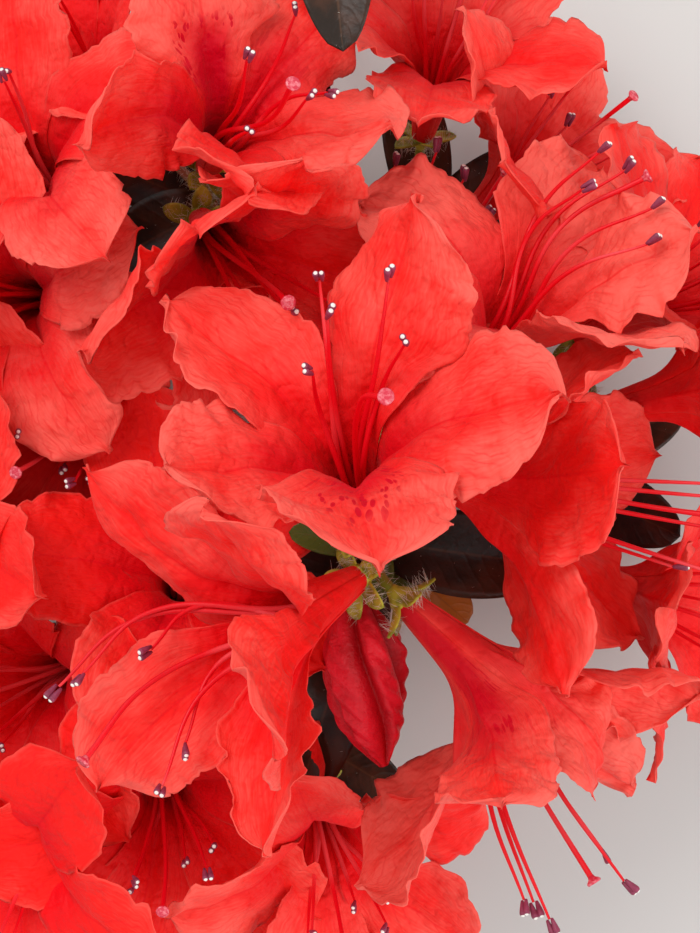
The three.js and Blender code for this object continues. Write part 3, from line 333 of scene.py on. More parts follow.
# Each bloom: where its calyx sits, where it faces (plan angle, rise, roll) and its size. A row of its
# petals or stamens gives each one its number, and None leaves the seeded one. The eight blooms that
# have rows take most numbers from programs: petals, places and facings from a least-squares fit to
# points read off the picture, and stamens from a search along the lines of sight.
# A bloom's tone is partly painted light: it makes the petals paler pink on blooms that face the light, and
# a deeper, shaded red on the low blooms at the left edge.
BLOOMS = {
    "centre": dict(
        at=(2.4, -8.3, 65.5), face=(105, 54, -1), size=1, seed=3, spots=1, tone=0.1,
        bow=(-1.2, 0.5, 0), style_bend=(-1, 3, 0),
        petals=dict(
            flare=(54, 63, 49, 69, 55), curl=(33, -5, -15, -17, -20), side=(2, -13, -12, 14, 11),
            twist=(-14, 10, -12, 21, -16), cup=(0.48, 0.13, -0.48, 0.6, 0.29),
            near=(4, -77, 2, 36, -16), far=(-46, -15, -44, 8, 10), long=(1.11, 1.05, 1.12, 0.98, 0.92),
            wide=(1.16, 1.07, 1.17, 0.93, 0.94),
        ),
        stamens=dict(
            reach=(0.97, 1.03, 0.87, 0.9, 0.82, 1.01), side=(3, 15, 18, 3, -3, 9),
            lean=(27, 17, 9, 19, 8, -11), foot=(234, 126, 54, 198, 306, 18), knee=(4, 4, 0, 2, 0, 0),
        ),
    ),
    "sideways": dict(
        at=(1.4, -16.6, 66.4), face=(208, 48, 45), size=1, seed=5, spots=0, bow=(-2.8, 2.4, 0),
        petals=dict(
            flare=(51, 80, 56, 48, 31), curl=(0, 16, 36, 6, 13), side=(4, -12, 14, 8, -8),
            twist=(13, 2, -16, 13, 17), cup=(-0.12, -0.81, 0.21, 0.39, 0.62),
            near=(-1, 4, -14, 104, -2), far=(-8, -62, -5, -2, 3), long=(0.97, 1.06, 1.17, 0.95, 1.15),
            wide=(0.91, 0.94, 0.9, 0.9, 1),
        ),
        stamens=dict(
            reach=(1.14, 1.06, 0.84, 0.91, 1.06, 1.2), side=(25, 24, 19, 4, 2, 12),
            lean=(16, 14, 9, 25, 26, 20), foot=(54, 18, 306, 198, 234, 126), knee=(4, 4, 2, 4, 4, 2),
        ),
    ),
    "hanging": dict(
        at=(7.7, -19.9, 65.0), face=(-42, 3, 25), size=1, seed=7, spots=1.6, tone=0.15,
        petals=dict(
            flare=(80, 84, 32, 41, 3), curl=(1, 18, -3, -18, -81), side=(-17, 4, 39, -4, -3),
            twist=(-44, -28, 34, -12, -6), cup=(0.4, -0.58, -0.36, 1.09, 0.11),
            near=(33, 10, -29, 54, -3), far=(-48, 6, 0, 7, -5), long=(0.98, 1.15, 1.16, 1.09, 0.81),
            wide=(0.82, 1.19, 1, 0.92, 1.01),
        ),
        stamens=dict(
            reach=(1.11, 1.13, 1.2, 1.11, 1.23, 1.17), side=(18, 17, 15, 5, 4, 8),
            lean=(-19, -18, -19, -8, -11, -12), foot=(198, 126, 54, 306, 234, 18),
            knee=(0, -1, 0, 0, 0, 0),
        ),
    ),
    "outward": dict(
        at=(3.2, 0.7, 59.9), face=(-10, 11, -7), size=1, seed=9,
        petals=dict(
            flare=(53, 58, 46, 39, 50), curl=(1, 13, -3, -3, -12), side=(-8, 0, -9, -10, -6),
            twist=(11, -30, 0, 0, 21), cup=(0.09, 0.16, 0.2, 0.2, -0.34), near=(6, 46, 0, 0, -49),
            far=(13, -44, 0, 0, 4), long=(1.05, 1.03, 1.17, 0.99, 0.87), wide=(1.05, 0.93, 1, 1, 1.04),
        ),
        stamens=dict(
            reach=(1.31, 1.28, 1.32, 1.15, 1.36, 1.35), side=(-4, -6, 1, 9, 8, -1),
            lean=(1, 0, 2, 3, 1, 1), foot=(234, 198, 18, 126, 54, 306), knee=(0, -1, 0, 0, 1, 0),
        ),
    ),
    "behind": dict(
        at=(-3, 10, 36), face=(71, 29, -10), size=1, seed=11,
        petals=dict(
            flare=(100, 66, 74, 68, 92), curl=(40, 75, 53, 35, 30), side=(0, -21, 64, -22, 0),
            long=(0.85, 0.77, 0.88, 0.9, 0.9), twist=(None, -3, 0, -28, None),
            cup=(None, -0.02, 0.2, -0.97, None), near=(None, 0, 0, -18, None),
            far=(None, -11, 0, -66, None), wide=(None, 1, 1, 0.99, None),
        ),
        stamens=dict(
            reach=(1.11, 0.92, 1.06, 1.01, 0.98, 1.17), side=(2, 3, 9, -5, 17, 15),
            lean=(11, 12, 14, 10, 17, 15), foot=(18, 54, 126, 306, 234, 198), knee=(0, 2, 0, 0, 0, -2),
        ),
    ),
    "beyond": dict(
        at=(17.3, 14.1, 47), face=(49, 44, -19), size=1, seed=13, tone=0.4, bow=(-3, 2, 0),
        petals=dict(
            flare=(96, 43, 19, 69, 100), curl=(34, -3, 8, 31, 40), side=(0, 2, -2, -19, 6),
            long=(0.9, 1.03, 0.93, 0.97, 0.85), twist=(None, 0, 6, 0, None),
            cup=(None, 0.2, 0.19, 0.2, None), near=(None, 0, -5, 0, None), far=(None, 0, -6, 0, None),
            wide=(None, 1, 1.08, 1, None),
        ),
        stamens=dict(
            reach=(1.03, 0.91, 1.03, 1.03, 0.96, 1.07), side=(-15, -11, -9, 2, 8, -5),
            lean=(20, 13, 22, 17, 14, 23), foot=(306, 18, 234, 126, 54, 198), knee=(0, 0, 2, 2, 2, 4),
        ),
    ),
    "crown": dict(
        at=(-23.9, 49.6, 39.9), face=(38, 66, -96), size=1, seed=21, spots=1.35, tone=0.05,
        petals=dict(
            flare=(51, 70, 42, 44, 86), curl=(100, -3, 5, -17, 62), side=(-21, 29, -17, -9, 0),
            twist=(6, -39, 0, -23, 21), cup=(-0.06, 0.27, 0.2, -0.13, -0.52),
            near=(-20, 38, 0, -88, -55), far=(11, -69, 0, 9, 0), long=(0.75, 0.94, 0.97, 0.84, 0.93),
            wide=(1.06, 0.79, 1, 1.03, 0.88),
        ),
        stamens=dict(
            reach=(0.95, 0.91, 0.84, 0.89, 0.8, 1.03), side=(6, 12, -7, -10, -21, 2),
            lean=(2, 15, 14, 15, -9, 11), foot=(18, 126, 234, 198, 306, 54), knee=(0, 2, 0, 4, 0, 0),
        ),
    ),
    "crown_low": dict(
        at=(-24.6, 40.6, 43.9), face=(-54, 60, 8), size=1, seed=23, spots=1,
        petals=dict(
            flare=(25, 65, 98, 92, 37), curl=(-6, -29, 72, 80, 3), side=(-3, -14, -5, -8, 28),
            twist=(-3, -24, 0, 0, 4), cup=(0.29, 0.7, 0.2, 0.2, -0.08), near=(4, 13, 0, 0, -20),
            far=(1, 27, 0, 0, -5), long=(0.99, 0.88, 0.93, 0.9, 0.86), wide=(0.99, 1.08, 1, 1, 1.12),
        ),
        stamens=dict(
            reach=(0.96, 0.92, 0.85, 0.9, 0.82, 1.03), side=(-2, -2, 7, -10, 9, -3),
            lean=(10, 20, 16, 20, 10, 6), foot=(306, 198, 126, 234, 54, 18),
        ),
    ),
    "edge": dict(at=(39, 8.7, 46), face=(12, 26, 0), size=0.92, seed=15),
    "right_up": dict(at=(39, 22, 28.7), face=(28, 40, 0), size=0.9, seed=45),
    "right_low": dict(at=(36, -18, 30), face=(-14, 26, 0), size=0.9, seed=47),
    "far_right": dict(at=(18.5, 41, 26), face=(38, 40, 0), size=0.9, seed=17),
    "far_top": dict(at=(12.6, 57.5, 25), face=(78, 52, 0), size=0.9, seed=19),
    "corner": dict(at=(-37.4, 60, 20.3), face=(140, 52, 0), size=0.9, seed=25),
    "left_top": dict(at=(-46.5, 42, 36), face=(130, 62, 0), size=0.92, seed=27, flare=74),
    "left_mid": dict(at=(-50, 29, 31), face=(200, 72, 0), size=0.92, seed=29, flare=72),
    "left_low": dict(at=(-41, 12.9, 22), face=(240, 68, 0), size=0.92, seed=31, flare=74),
    "left_far": dict(at=(-58, -14, 29), face=(160, 62, 0), size=0.92, seed=34, tone=-0.2, flare=70),
    "low_left": dict(at=(-46, -34, 20.1), face=(200, 66, 0), size=0.92, seed=33, tone=-0.2, flare=72),
    "low_mid": dict(at=(-29.4, -22.4, 30), face=(70, 72, 0), size=0.92, seed=35, tone=-0.2, flare=72),
    "low_out": dict(at=(-49.5, -57, 29), face=(235, 60, 0), size=0.92, seed=37, tone=-0.2, flare=74),
    "low_right": dict(at=(-33, -50, 24), face=(290, 66, 0), size=0.92, seed=39, tone=-0.2, flare=72),
    "foot_left": dict(at=(-7, -53.7, 26), face=(290, 54, 0), size=0.9, seed=41),
}
PETAL_RED = (0.93, 0.01, 0.007, 1)
# A deep red: the own colour of the veins and the midline, and also painted shade deep in the throat.
PETAL_DEEP_AND_SHADE = (0.83, 0.0, 0.006, 1)
# A pale pink, partly the petals' own random pink and partly a painted highlight on the outer ends and the
# rims of the lobes.
PETAL_PINK_AND_HIGHLIGHT = (0.97, 0.135, 0.1, 1)
BLOTCH = (0.62, 0.0, 0.014, 1)
SPOTS = 0.5  # how strongly a bloom's upper lobe is marked, where its row doesn't say


def facing(face):
    """The axes of a bloom as columns: x to its upper lobe, z out of its mouth."""
    plan, rise, roll = (math.radians(angle) for angle in face)
    out = Vector((math.cos(rise) * math.cos(plan), math.cos(rise) * math.sin(plan), math.sin(rise)))
    upper = Vector((-math.sin(rise) * math.cos(plan), -math.sin(rise) * math.sin(plan), math.cos(rise)))
    upper.rotate(Matrix.Rotation(roll, 3, out))
    return np.array([upper, out.cross(upper), out]).T


def put(bloom, points):
    """Points of a bloom's own frame in the row's frame, still in millimetres."""
    return points @ facing(bloom["face"]).T * bloom["size"] + np.array(bloom["at"]) - ORIGIN


def seeded(seed):
    """A small generator of shares from 0 to 1, the same for a bloom each time."""
    state = seed * 2654435761 & 0xFFFFFFFF

    def share():
        nonlocal state
        state = state + 0x6D2B79F5 & 0xFFFFFFFF
        mixed = (state ^ state >> 15) * (state | 1) & 0xFFFFFFFF
        mixed ^= mixed + (mixed ^ mixed >> 7) * (mixed | 61) & 0xFFFFFFFF
        return (mixed ^ mixed >> 14) / 4294967296

    return share


def each(columns):
    """One dict for each petal, stamen or leaf of named rows, without what is None."""
    given = [dict(zip(columns, values)) for values in zip(*columns.values())]
    return [{key: value for key, value in one.items() if value is not None} for one in given]


def petals_of(bloom):
    """The five petals: the plain one, a seeded change, then what the bloom itself says."""
    share = seeded(bloom["seed"])
    own = each(bloom["petals"]) if "petals" in bloom else [{}] * PETALS

    def spread(size):
        return (2 * share() - 1) * size

    petals = []
    for i in range(PETALS):
        petal = PLAIN_PETAL | {
            "flare": bloom.get("flare", PLAIN_PETAL["flare"]) + spread(7),
            "curl": PLAIN_PETAL["curl"] + spread(14),
            "side": spread(6),
            "twist": spread(12),
            "cup": PLAIN_PETAL["cup"] + spread(0.25),
            "long": 1 + spread(0.05),
            "wide": 1 + spread(0.07),
            "phase": math.pi * (1 + spread(1)),
            "waves": 1.5 + spread(0.4),
        }
        petals.append(petal | own[i])
    return petals


def rise(x):
    x = np.clip(x, 0, 1)
    return x * x * (3 - 2 * x)


def lobe_outline(t):
    """Half the width of a lobe as a share of its widest: broad shoulders and a drawn-out point."""
    swell = 0.62 + 0.38 * np.sin(np.pi / 2 * np.clip(t / WIDEST, 0, 1))
    u = np.clip((t - WIDEST) / (1 - WIDEST), 0, 1)
    shoulders = np.maximum(0, 1 - (u / 0.93) ** 3.6) ** 0.95
    point = 0.45 * (1 - u) ** 0.8 * rise((u - 0.5) / 0.4)
    return np.where(t < WIDEST, swell, shoulders + point)


def petal_sheet(petal, azimuth, along, across, chance):
    """A petal's middle layer as a grid of points with the way its inner face looks there.
    along runs up the petal in millimetres and across from -1 to 1."""
    lobe = LOBE * petal["long"]
    slices = 90
    steps = (np.arange(slices) + 0.5) / slices * (TUBE + lobe)

    def axes(d):
        t = (d - TUBE) / lobe
        opening = rise((d - 0.5 * TUBE) / (0.5 * TUBE + 0.5 * lobe))
        angle = np.radians(TUBE_ANGLE + (petal["flare"] - TUBE_ANGLE) * opening)
        angle += np.radians(petal["curl"]) * rise((t - 0.5) / 0.5)
        plan = azimuth + np.radians(petal["side"]) * rise(t)
        flat = np.stack([np.cos(plan), np.sin(plan), 0 * plan], -1)
        axis = np.array([0, 0, 1.0])
        up = flat * np.sin(angle)[:, None] + axis * np.cos(angle)[:, None]
        inward = axis * np.sin(angle)[:, None] - flat * np.cos(angle)[:, None]
        aside = np.stack([-np.sin(plan), np.cos(plan), 0 * plan], -1)
        return t, up, inward, aside

    walked = np.vstack([np.zeros(3), np.cumsum(axes(steps)[1], 0) * (TUBE + lobe) / slices])
    walked += TUBE_FOOT * np.array([math.cos(azimuth), math.sin(azimuth), 0])
    marks = np.linspace(0, TUBE + lobe, slices + 1)
    middle = np.stack([np.interp(along, marks, walked[:, k]) for k in range(3)], -1)
    t, up, inward, aside = axes(along)

    turn = np.radians(petal["twist"]) * rise(t)[:, None]
    aside = aside * np.cos(turn) + np.cross(up, aside) * np.sin(turn)
    inward = inward * np.cos(turn) + np.cross(up, inward) * np.sin(turn)

    radius = np.hypot(middle[:, 0], middle[:, 1])
    in_tube = 1 - rise((along - TUBE) / (0.35 * lobe))
    sector = SEAM * radius * np.pi / PETALS
    full = LOBE_HALF * petal["wide"] * lobe_outline(np.maximum(0, t))
    fitted = np.where(t > 0, np.minimum(full, sector * (1 + (OVERLAP - SEAM) * rise(t / 0.15))), sector)
    half = fitted + (full - fitted) * rise((t - 0.3) / 0.2)
    bow = petal["cup"] + (half / radius - petal["cup"]) * in_tube

    free = rise(t * 2)[:, None]
    near, far, late = chance.uniform(0, 2 * np.pi, (3, 4))
    scallop = np.where(
        across < 0,
        np.sin(19 * t[:, None] + near[0]) + 0.5 * np.sin(41 * t[:, None] + near[1]),
        np.sin(17 * t[:, None] + far[0]) + 0.5 * np.sin(37 * t[:, None] + far[1]),
    )
    nicks = np.maximum(0, np.sin(61 * t[:, None] + np.where(across < 0, near[3], far[3]))) ** 6
    teeth = np.sin(83 * t[:, None] + np.where(across < 0, near[0], far[0]))
    half = half[:, None] * (1 + (0.026 * scallop + 0.01 * teeth - 0.04 * nicks) * free)
    roll = np.radians(np.where(across < 0, -petal["near"], petal["far"])) * free
    points = np.repeat(middle[:, None, :], len(across), 1)
    parts = 8
    for i in range(parts):
        share = across * (i + 0.5) / parts
        lean = bow[:, None] * share + roll * np.abs(share) ** 3
        width = half * across / parts
        points += aside[:, None, :] * (width * np.cos(lean))[..., None]
        points += inward[:, None, :] * (width * np.sin(lean))[..., None]
    lean = bow[:, None] * across + roll * np.abs(across) ** 3
    normal = inward[:, None, :] * np.cos(lean)[..., None] - aside[:, None, :] * np.sin(lean)[..., None]

    edge = np.abs(across)
    slow = 2 * np.pi * petal["waves"] * t[:, None] + petal["phase"] + np.where(across < 0, 2.1, 0)
    lift = petal["wave"] * np.sin(slow) * edge**2 * rise(t * 2.5)[:, None]
    quick = np.where(
        across < 0,
        np.sin(33 * t[:, None] + near[2]) + 0.6 * np.sin(58 * t[:, None] + near[3]),
        np.sin(36 * t[:, None] + far[2]) + 0.6 * np.sin(53 * t[:, None] + far[3]),
    )
    lift += CRINKLE * (0.8 + 0.6 * np.sin(9 * t[:, None] + late[2])) * quick * edge**4 * free
    lift += 0.5 * np.sin(7 * t[:, None] + late[0]) * np.sin(4 * across + late[1]) * free
    lift += 0.34 * np.sin(21 * t[:, None] + 3 * across + late[3]) * np.sin(9 * across + late[2]) * free
    fold = rise((t + 0.2) / 0.4) * (1 - rise((t - 0.75) / 0.25))
    lift -= CREASE * np.exp(-((across / 0.11) ** 2)) * fold[:, None]
    lift -= CHANNEL * np.exp(-((across / 0.3) ** 2) - ((t[:, None] - 0.12) / 0.16) ** 2)
    lift -= across * (SEAM_LAP + (LAP - SEAM_LAP) * rise(t / 0.2))[:, None]
    return points + normal * lift[..., None], normal


def shell(sheets):
    """Points, faces and marks of closed thin shells, one for each sheet of (points, normals).
    The marks are the place across and along, and 1 on the inner face."""
    points, faces, marks = [], [], []
    start = 0
    for sheet, normal in sheets:
        rows, columns = sheet.shape[:2]
        thin = THICK * (1 - 0.6 * np.abs(np.linspace(-1, 1, columns)) ** 4)[None, :, None]
        layers = np.stack([sheet + normal * thin / 2, sheet - normal * thin / 2])
        points.append(layers.reshape(-1, 3))
        index = start + np.arange(2 * rows * columns).reshape(2, rows, columns)
        start += 2 * rows * columns
        inner, outer = index
        faces.append(quads(inner))
        faces.append(quads(outer)[:, ::-1])
        for line, back in (
            (inner[:, 0], outer[:, 0]),
            (outer[:, -1], inner[:, -1]),
            (outer[0], inner[0]),
            (inner[-1], outer[-1]),
        ):
            faces.append(np.stack([line[:-1], back[:-1], back[1:], line[1:]], -1)[:, ::-1])
        up, side = np.meshgrid(np.linspace(0, 1, rows), np.linspace(0, 1, columns), indexing="ij")
        marks += [np.stack([side, up, np.full_like(up, face)], -1).reshape(-1, 3) for face in (1, 0)]
    return np.vstack(points), np.vstack(faces), np.vstack(marks)


def quads(index):
    corners = index[:-1, :-1], index[:-1, 1:], index[1:, 1:], index[1:, :-1]
    return np.stack(corners, -1).reshape(-1, 4)


def mesh_piece(name, points, faces, material, marks=None, **values):
    """An object from points in millimetres, with a map of marks and values that it spreads."""
    mesh = bpy.data.meshes.new(name)
    mesh.from_pydata((points * MM).tolist(), [], faces.tolist())
    mesh.materials.append(material)
    mesh.polygons.foreach_set("use_smooth", np.ones(len(mesh.polygons), bool))
    if marks is not None:
        corner = np.empty(len(mesh.loops), np.int32)
        mesh.loops.foreach_get("vertex_index", corner)
        mesh.uv_layers.new(name="sheet").data.foreach_set("uv", marks[corner, :2].ravel())
        values = values | {"inner": marks[:, 2]}
    for label, value in values.items():
        spread = mesh.attributes.new(label, "FLOAT", "POINT")
        spread.data.foreach_set("value", np.asarray(value, np.float32))
    piece = bpy.data.objects.new(name, mesh)
    bpy.context.scene.collection.objects.link(piece)
    return piece


# The veins of a petal or a leaf leave its midrib at a slant and waver on their way to the edge.
veins = bpy.data.node_groups.new("slanting veins", "ShaderNodeTree")
for label, value in (("Slant", 0.4), ("Count", 18.0), ("Waver", 0.02), ("Sharpness", 5.0)):
    veins.interface.new_socket(label, in_out="INPUT", socket_type="NodeSocketFloat").default_value = value
for label in ("Veins", "Midrib", "Aside", "Along"):
    veins.interface.new_socket(label, in_out="OUTPUT", socket_type="NodeSocketFloat")
given = veins.nodes.new("NodeGroupInput").outputs
sheet = add(veins, "ShaderNodeUVMap", uv_map="sheet").outputs[0]
split = add(veins, "ShaderNodeSeparateXYZ", {0: sheet}).outputs
aside = calc(veins, "ABSOLUTE", calc(veins, "MULTIPLY_ADD", split[0], 2.0, -1.0))
waver = calc(veins, "MULTIPLY", calc(veins, "SUBTRACT", speckle(veins, sheet, 5, 3), 0.5), given["Waver"])
level = calc(veins, "SUBTRACT", split[1], calc(veins, "MULTIPLY", aside, given["Slant"]))
level = calc(veins, "ADD", level, waver)
often = calc(veins, "MULTIPLY", given["Count"], 2 * math.pi)
wave = calc(veins, "SINE", calc(veins, "MULTIPLY", level, often))
crest = calc(veins, "MULTIPLY_ADD", wave, 0.5, 0.5)
result = veins.nodes.new("NodeGroupOutput").inputs
veins.links.new(calc(veins, "POWER", crest, given["Sharpness"]), result["Veins"])
veins.links.new(ramp(veins, aside, 0.06, 0.0), result["Midrib"])
veins.links.new(aside, result["Aside"])
veins.links.new(split[1], result["Along"])

petal_skin, tree, shader, place = finish(
    "petal", 0.55, Specular_IOR_Level=0.15,
    Sheen_Weight=0.07, Sheen_Roughness=0.4, Sheen_Tint=(1.0, 0.5, 0.45, 1),
)
sheet = add(tree, "ShaderNodeUVMap", uv_map="sheet").outputs[0]
network = {"Slant": 0.55, "Count": 13.0, "Waver": 0.22, "Sharpness": 9.0}
fine = add(tree, "ShaderNodeGroup", network, node_tree=veins)
upper, tone, inner = (
    add(tree, "ShaderNodeAttribute", attribute_name=label).outputs["Fac"]
    for label in ("upper", "tone", "inner")
)
along, aside = fine.outputs["Along"], fine.outputs["Aside"]
clouds = speckle(tree, place, 130, 3)
# Painted highlight: the share of pale pink grows towards the outer ends and edges of each lobe, on top of
# the random mottles, the fibres and each bloom's tone.
outer = times(tree, aside, along)
drawn = add(tree, "ShaderNodeMapping", {"Vector": sheet, "Scale": (1, 0.16, 1)}).outputs[0]
fibres = speckle(tree, drawn, 60, 3)
pink_and_highlight_share = total(tree, (fibres, 0.36), (clouds, 0.62), (outer, 0.35), (tone, 1))
colour = blend(tree, ramp(tree, pink_and_highlight_share, 0.36, 0.98), PETAL_RED, PETAL_PINK_AND_HIGHLIGHT)
# Painted shade: the petals darken to deep red towards the foot of the funnel, most strongly on the inner
# face.
throat = ramp(tree, total(tree, (clouds, 0.14), (along, 1)), 0.66, 0.32)
depth = calc(tree, "MULTIPLY_ADD", inner, 0.55, 0.35)
colour = blend(tree, times(tree, throat, depth), colour, PETAL_DEEP_AND_SHADE)
broken = ramp(tree, speckle(tree, place, 280, 2), 0.35, 0.62)
lines_on = times(tree, fine.outputs["Veins"], ramp(tree, along, 0.25, 0.5), broken, 0.42)
colour = blend(tree, lines_on, colour, PETAL_DEEP_AND_SHADE)
middle = times(tree, ramp(tree, aside, 0.035, 0.0), ramp(tree, along, 0.98, 0.4), 0.7)
colour = blend(tree, middle, colour, PETAL_DEEP_AND_SHADE)
# Painted highlight: a thin pale pink line along each lobe's rim.
painted_rim_highlight = times(tree, ramp(tree, aside, 0.94, 1.0), ramp(tree, along, 0.3, 0.4), 0.35)
colour = blend(tree, painted_rim_highlight, colour, PETAL_PINK_AND_HIGHLIGHT)
stretched = add(tree, "ShaderNodeMapping", {"Vector": sheet, "Scale": (26, 18, 1)}).outputs[0]
spot = add(tree, "ShaderNodeTexVoronoi", {"Vector": stretched, "Scale": 1.0, "Randomness": 0.9})
kept = add(tree, "ShaderNodeSeparateXYZ", {0: spot.outputs["Color"]}).outputs[0]
size = calc(tree, "MULTIPLY_ADD", kept, 0.34, 0.2)
dots = ramp(tree, calc(tree, "SUBTRACT", spot.outputs["Distance"], size), 0.05, -0.06)
fade = total(tree, (clouds, 0.2), (along, 1))
far = calc(tree, "MULTIPLY_ADD", calc(tree, "MINIMUM", upper, 1.0), 0.44, 0.42)
blurred = calc(tree, "MAXIMUM", calc(tree, "SUBTRACT", upper, 1.0), 0.0)
far = calc(tree, "MULTIPLY_ADD", blurred, -0.3, far)
reach = ramp(tree, fade, far, calc(tree, "SUBTRACT", far, 0.14))
spread = calc(tree, "MULTIPLY_ADD", fade, 1.2, calc(tree, "SUBTRACT", aside, 0.48))
dots = times(tree, dots, reach, ramp(tree, fade, 0.2, 0.28), ramp(tree, spread, 0.95, 0.6))
wash = times(tree, ramp(tree, fade, 0.82, 0.46), ramp(tree, spread, 0.95, 0.25), 0.9)
shown = calc(tree, "MULTIPLY_ADD", inner, 0.4, 0.6)
blotch = times(tree, calc(tree, "MAXIMUM", dots, wash), shown, upper)
colour = blend(tree, blotch, colour, BLOTCH)
tree.links.new(colour, shader.inputs["Base Color"])
pleats = calc(tree, "ABSOLUTE", calc(tree, "SUBTRACT", speckle(tree, place, 240, 2), 0.5))
height = total(tree, (fibres, 0.24), (speckle(tree, place, 320, 2), 1.6), (pleats, 2.2))
relief(tree, shader, height, 0.5)

UPPER_SHARE = (1.0, 0.45, 0.0, 0.0, 0.45)  # how strongly each petal carries the crimson dashes
HERO_GRID = (20, 54, 37)  # rows in the tube, rows in the lobe, columns
PLAIN_GRID = (12, 32, 21)
for name, bloom in BLOOMS.items():
    tube_rows, lobe_rows, columns = HERO_GRID if "petals" in bloom else PLAIN_GRID
    across = np.linspace(-1, 1, columns)
    sheets, upper, tones = [], [], []
    for i, petal in enumerate(petals_of(bloom)):
        chance = np.random.default_rng([bloom["seed"], i])
        share = 0.998 * (1 - (1 - np.linspace(0, 1, lobe_rows)) ** 1.5)
        up_lobe = TUBE + share * LOBE * petal["long"]
        along = np.append(np.linspace(0, TUBE, tube_rows, endpoint=False), up_lobe)
        grid, normal = petal_sheet(petal, 2 * math.pi * i / PETALS, along, across, chance)
        sheets.append((grid, normal))
        spots = 2 * grid.shape[0] * columns
        upper += [UPPER_SHARE[i] * bloom.get("spots", SPOTS)] * spots
        # Each petal adds a random change of tone to its bloom's painted light.
        tones += [bloom.get("tone", 0) + chance.uniform(-0.12, 0.12)] * spots
    points, faces, marks = shell(sheets)
    points = put(bloom, points)
    piece = mesh_piece("petals_" + name, points, faces, petal_skin, marks, upper=upper, tone=tones)
    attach(piece, "root")
    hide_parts("bloom_" + name)

# Stamens. Five red filaments and the style, the last of each row, rise from the tube's floor, lean
# to the lower lobes and turn up again. They are swept along lines that pass through four points.
REACH = 42  # from the foot of the tube to the furthest anther
TUBE_FLOOR = 2.4
PLAIN_STAMENS = dict(
    reach=(0.98, 0.9, 0.8, 0.86, 0.74, 1.08), side=(-9, 10, -13, 13, -3, 3), lean=(3, 2, 7, 8, 11, 5),
    foot=(306, 54, 234, 126, 198, 18),
)
UPTURNED = 0.9  # how far a bloom that looks up turns its anthers to the sky
LOOKS_UP = 45  # the rise from which a bloom looks up
FILAMENT_RED = (0.8, 0.002, 0.01, 1)
FILAMENT_PINK = (0.88, 0.07, 0.08, 1)


def stamen_line(bloom, stamen):
    """Foot, throat, knee and tip of a stamen in the row's frame."""
    reach = REACH * stamen["reach"]
    lean, side, turn = (math.radians(stamen[key]) for key in ("lean", "side", "foot"))
    way = np.array([-math.sin(lean) * math.cos(side), math.sin(side), math.cos(lean) * math.cos(side)])
    round_foot = np.array([math.cos(turn), math.sin(turn), 0])
    foot = 1.15 * round_foot + (0, 0, TUBE_FLOOR)
    throat = 1.9 * round_foot + (-1, 0, TUBE * 0.75)
    knee = way * reach * 0.72 + (stamen.get("knee", 0), 0, 0)
    tip = way * reach + (2, 0, 0)
    line = put(bloom, np.array([foot, throat, knee, tip]))
    line[2] += bloom.get("bow", (0, 0, 0))
    return line


filament_skin = mottled("filament", 0.4, FILAMENT_RED, FILAMENT_PINK, 45, 1, limits=(0.5, 0.64),
                        pores=(1500, 0.05), Specular_IOR_Level=0.3)

rods, tips = [], []
for name, bloom in BLOOMS.items():
    stamens = each(bloom.get("stamens", PLAIN_STAMENS))
    for row, stamen in enumerate(stamens):
        line = stamen_line(bloom, stamen)
        style = row == len(stamens) - 1
        if style:
            line[2] += bloom.get("style_bend", (0, 0, 0))
        widths = np.array([0.55, 0.48, 0.36, 0.46 if style else 0.2]) * bloom["size"]
        rods.append([(*point, width) for point, width in zip(line, widths)])
        way = (line[3] - line[2]) / np.linalg.norm(line[3] - line[2])
        if bloom["face"][1] > LOOKS_UP and not style:
            way = way + (0, 0, UPTURNED)
        tips.append((line[3], way, style, bloom["size"], bloom["seed"] * 10 + row))
filaments = grow("filaments", lines("filaments", rods), limb_tree, step=0.0012, sides=8,
                 relief=0.00005, grain=900.0, material=filament_skin)
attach(filaments, "root")

# Anthers and stigmas. An anther is two small mauve sacs side by side, narrow at the filament and
# widening to an open pore each, full of white pollen. The style ends in a sticky ringed pink disc.
ANTHER_SAC = [(0.02, -0.1), (0.22, 0), (0.33, 0.5), (0.44, 1.2), (0.52, 1.8), (0.5, 2.1), (0.36, 2.28),
              (0.02, 2.32)]
SAC_APART = 0.44
POLLEN_BALL = 0.36
POLLEN_HIGH = 2.2
ANTHER_BROWN = (0.11, 0.015, 0.028, 1)
ANTHER_MAUVE = (0.4, 0.06, 0.13, 1)
POLLEN = (0.95, 0.93, 0.88, 1)
POLLEN_SHADE = (0.8, 0.76, 0.66, 1)
STIGMA_DISC = [(0.02, -0.9), (0.46, -0.8), (0.6, -0.4), (1.0, -0.1), (1.15, 0.15), (1.0, 0.4), (0.65, 0.3),
               (0.45, 0.42), (0.2, 0.3), (0.02, 0.32)]
STIGMA = (0.66, 0.03, 0.06, 1)
STIGMA_LIT = (0.86, 0.2, 0.23, 1)


def lathe(profile, sides):
    """Points and faces of a turned form: rows of (radius, height), closed at both ends."""
    turn = 2 * np.pi * np.arange(sides) / sides
    rings = [np.stack([r * np.cos(turn), r * np.sin(turn), np.full(sides, z)], -1) for r, z in profile]
    index = np.arange(len(rings) * sides).reshape(len(rings), sides)
    index = np.concatenate([index, index[:, :1]], 1)
    return np.vstack(rings), quads(index)


def joined(parts):
    """Several (points, faces) as one."""
    starts = np.cumsum([0] + [len(points) for points, _ in parts[:-1]])
    return np.vstack([p for p, _ in parts]), np.vstack([f + s for (_, f), s in zip(parts, starts)])


def ball(radius, centre, stretch=1.0, rings=7, sides=10):
    bend = np.linspace(0.02, math.pi - 0.02, rings)
    points, faces = lathe([(radius * math.sin(b), -radius * stretch * math.cos(b)) for b in bend], sides)
    return points + centre, faces


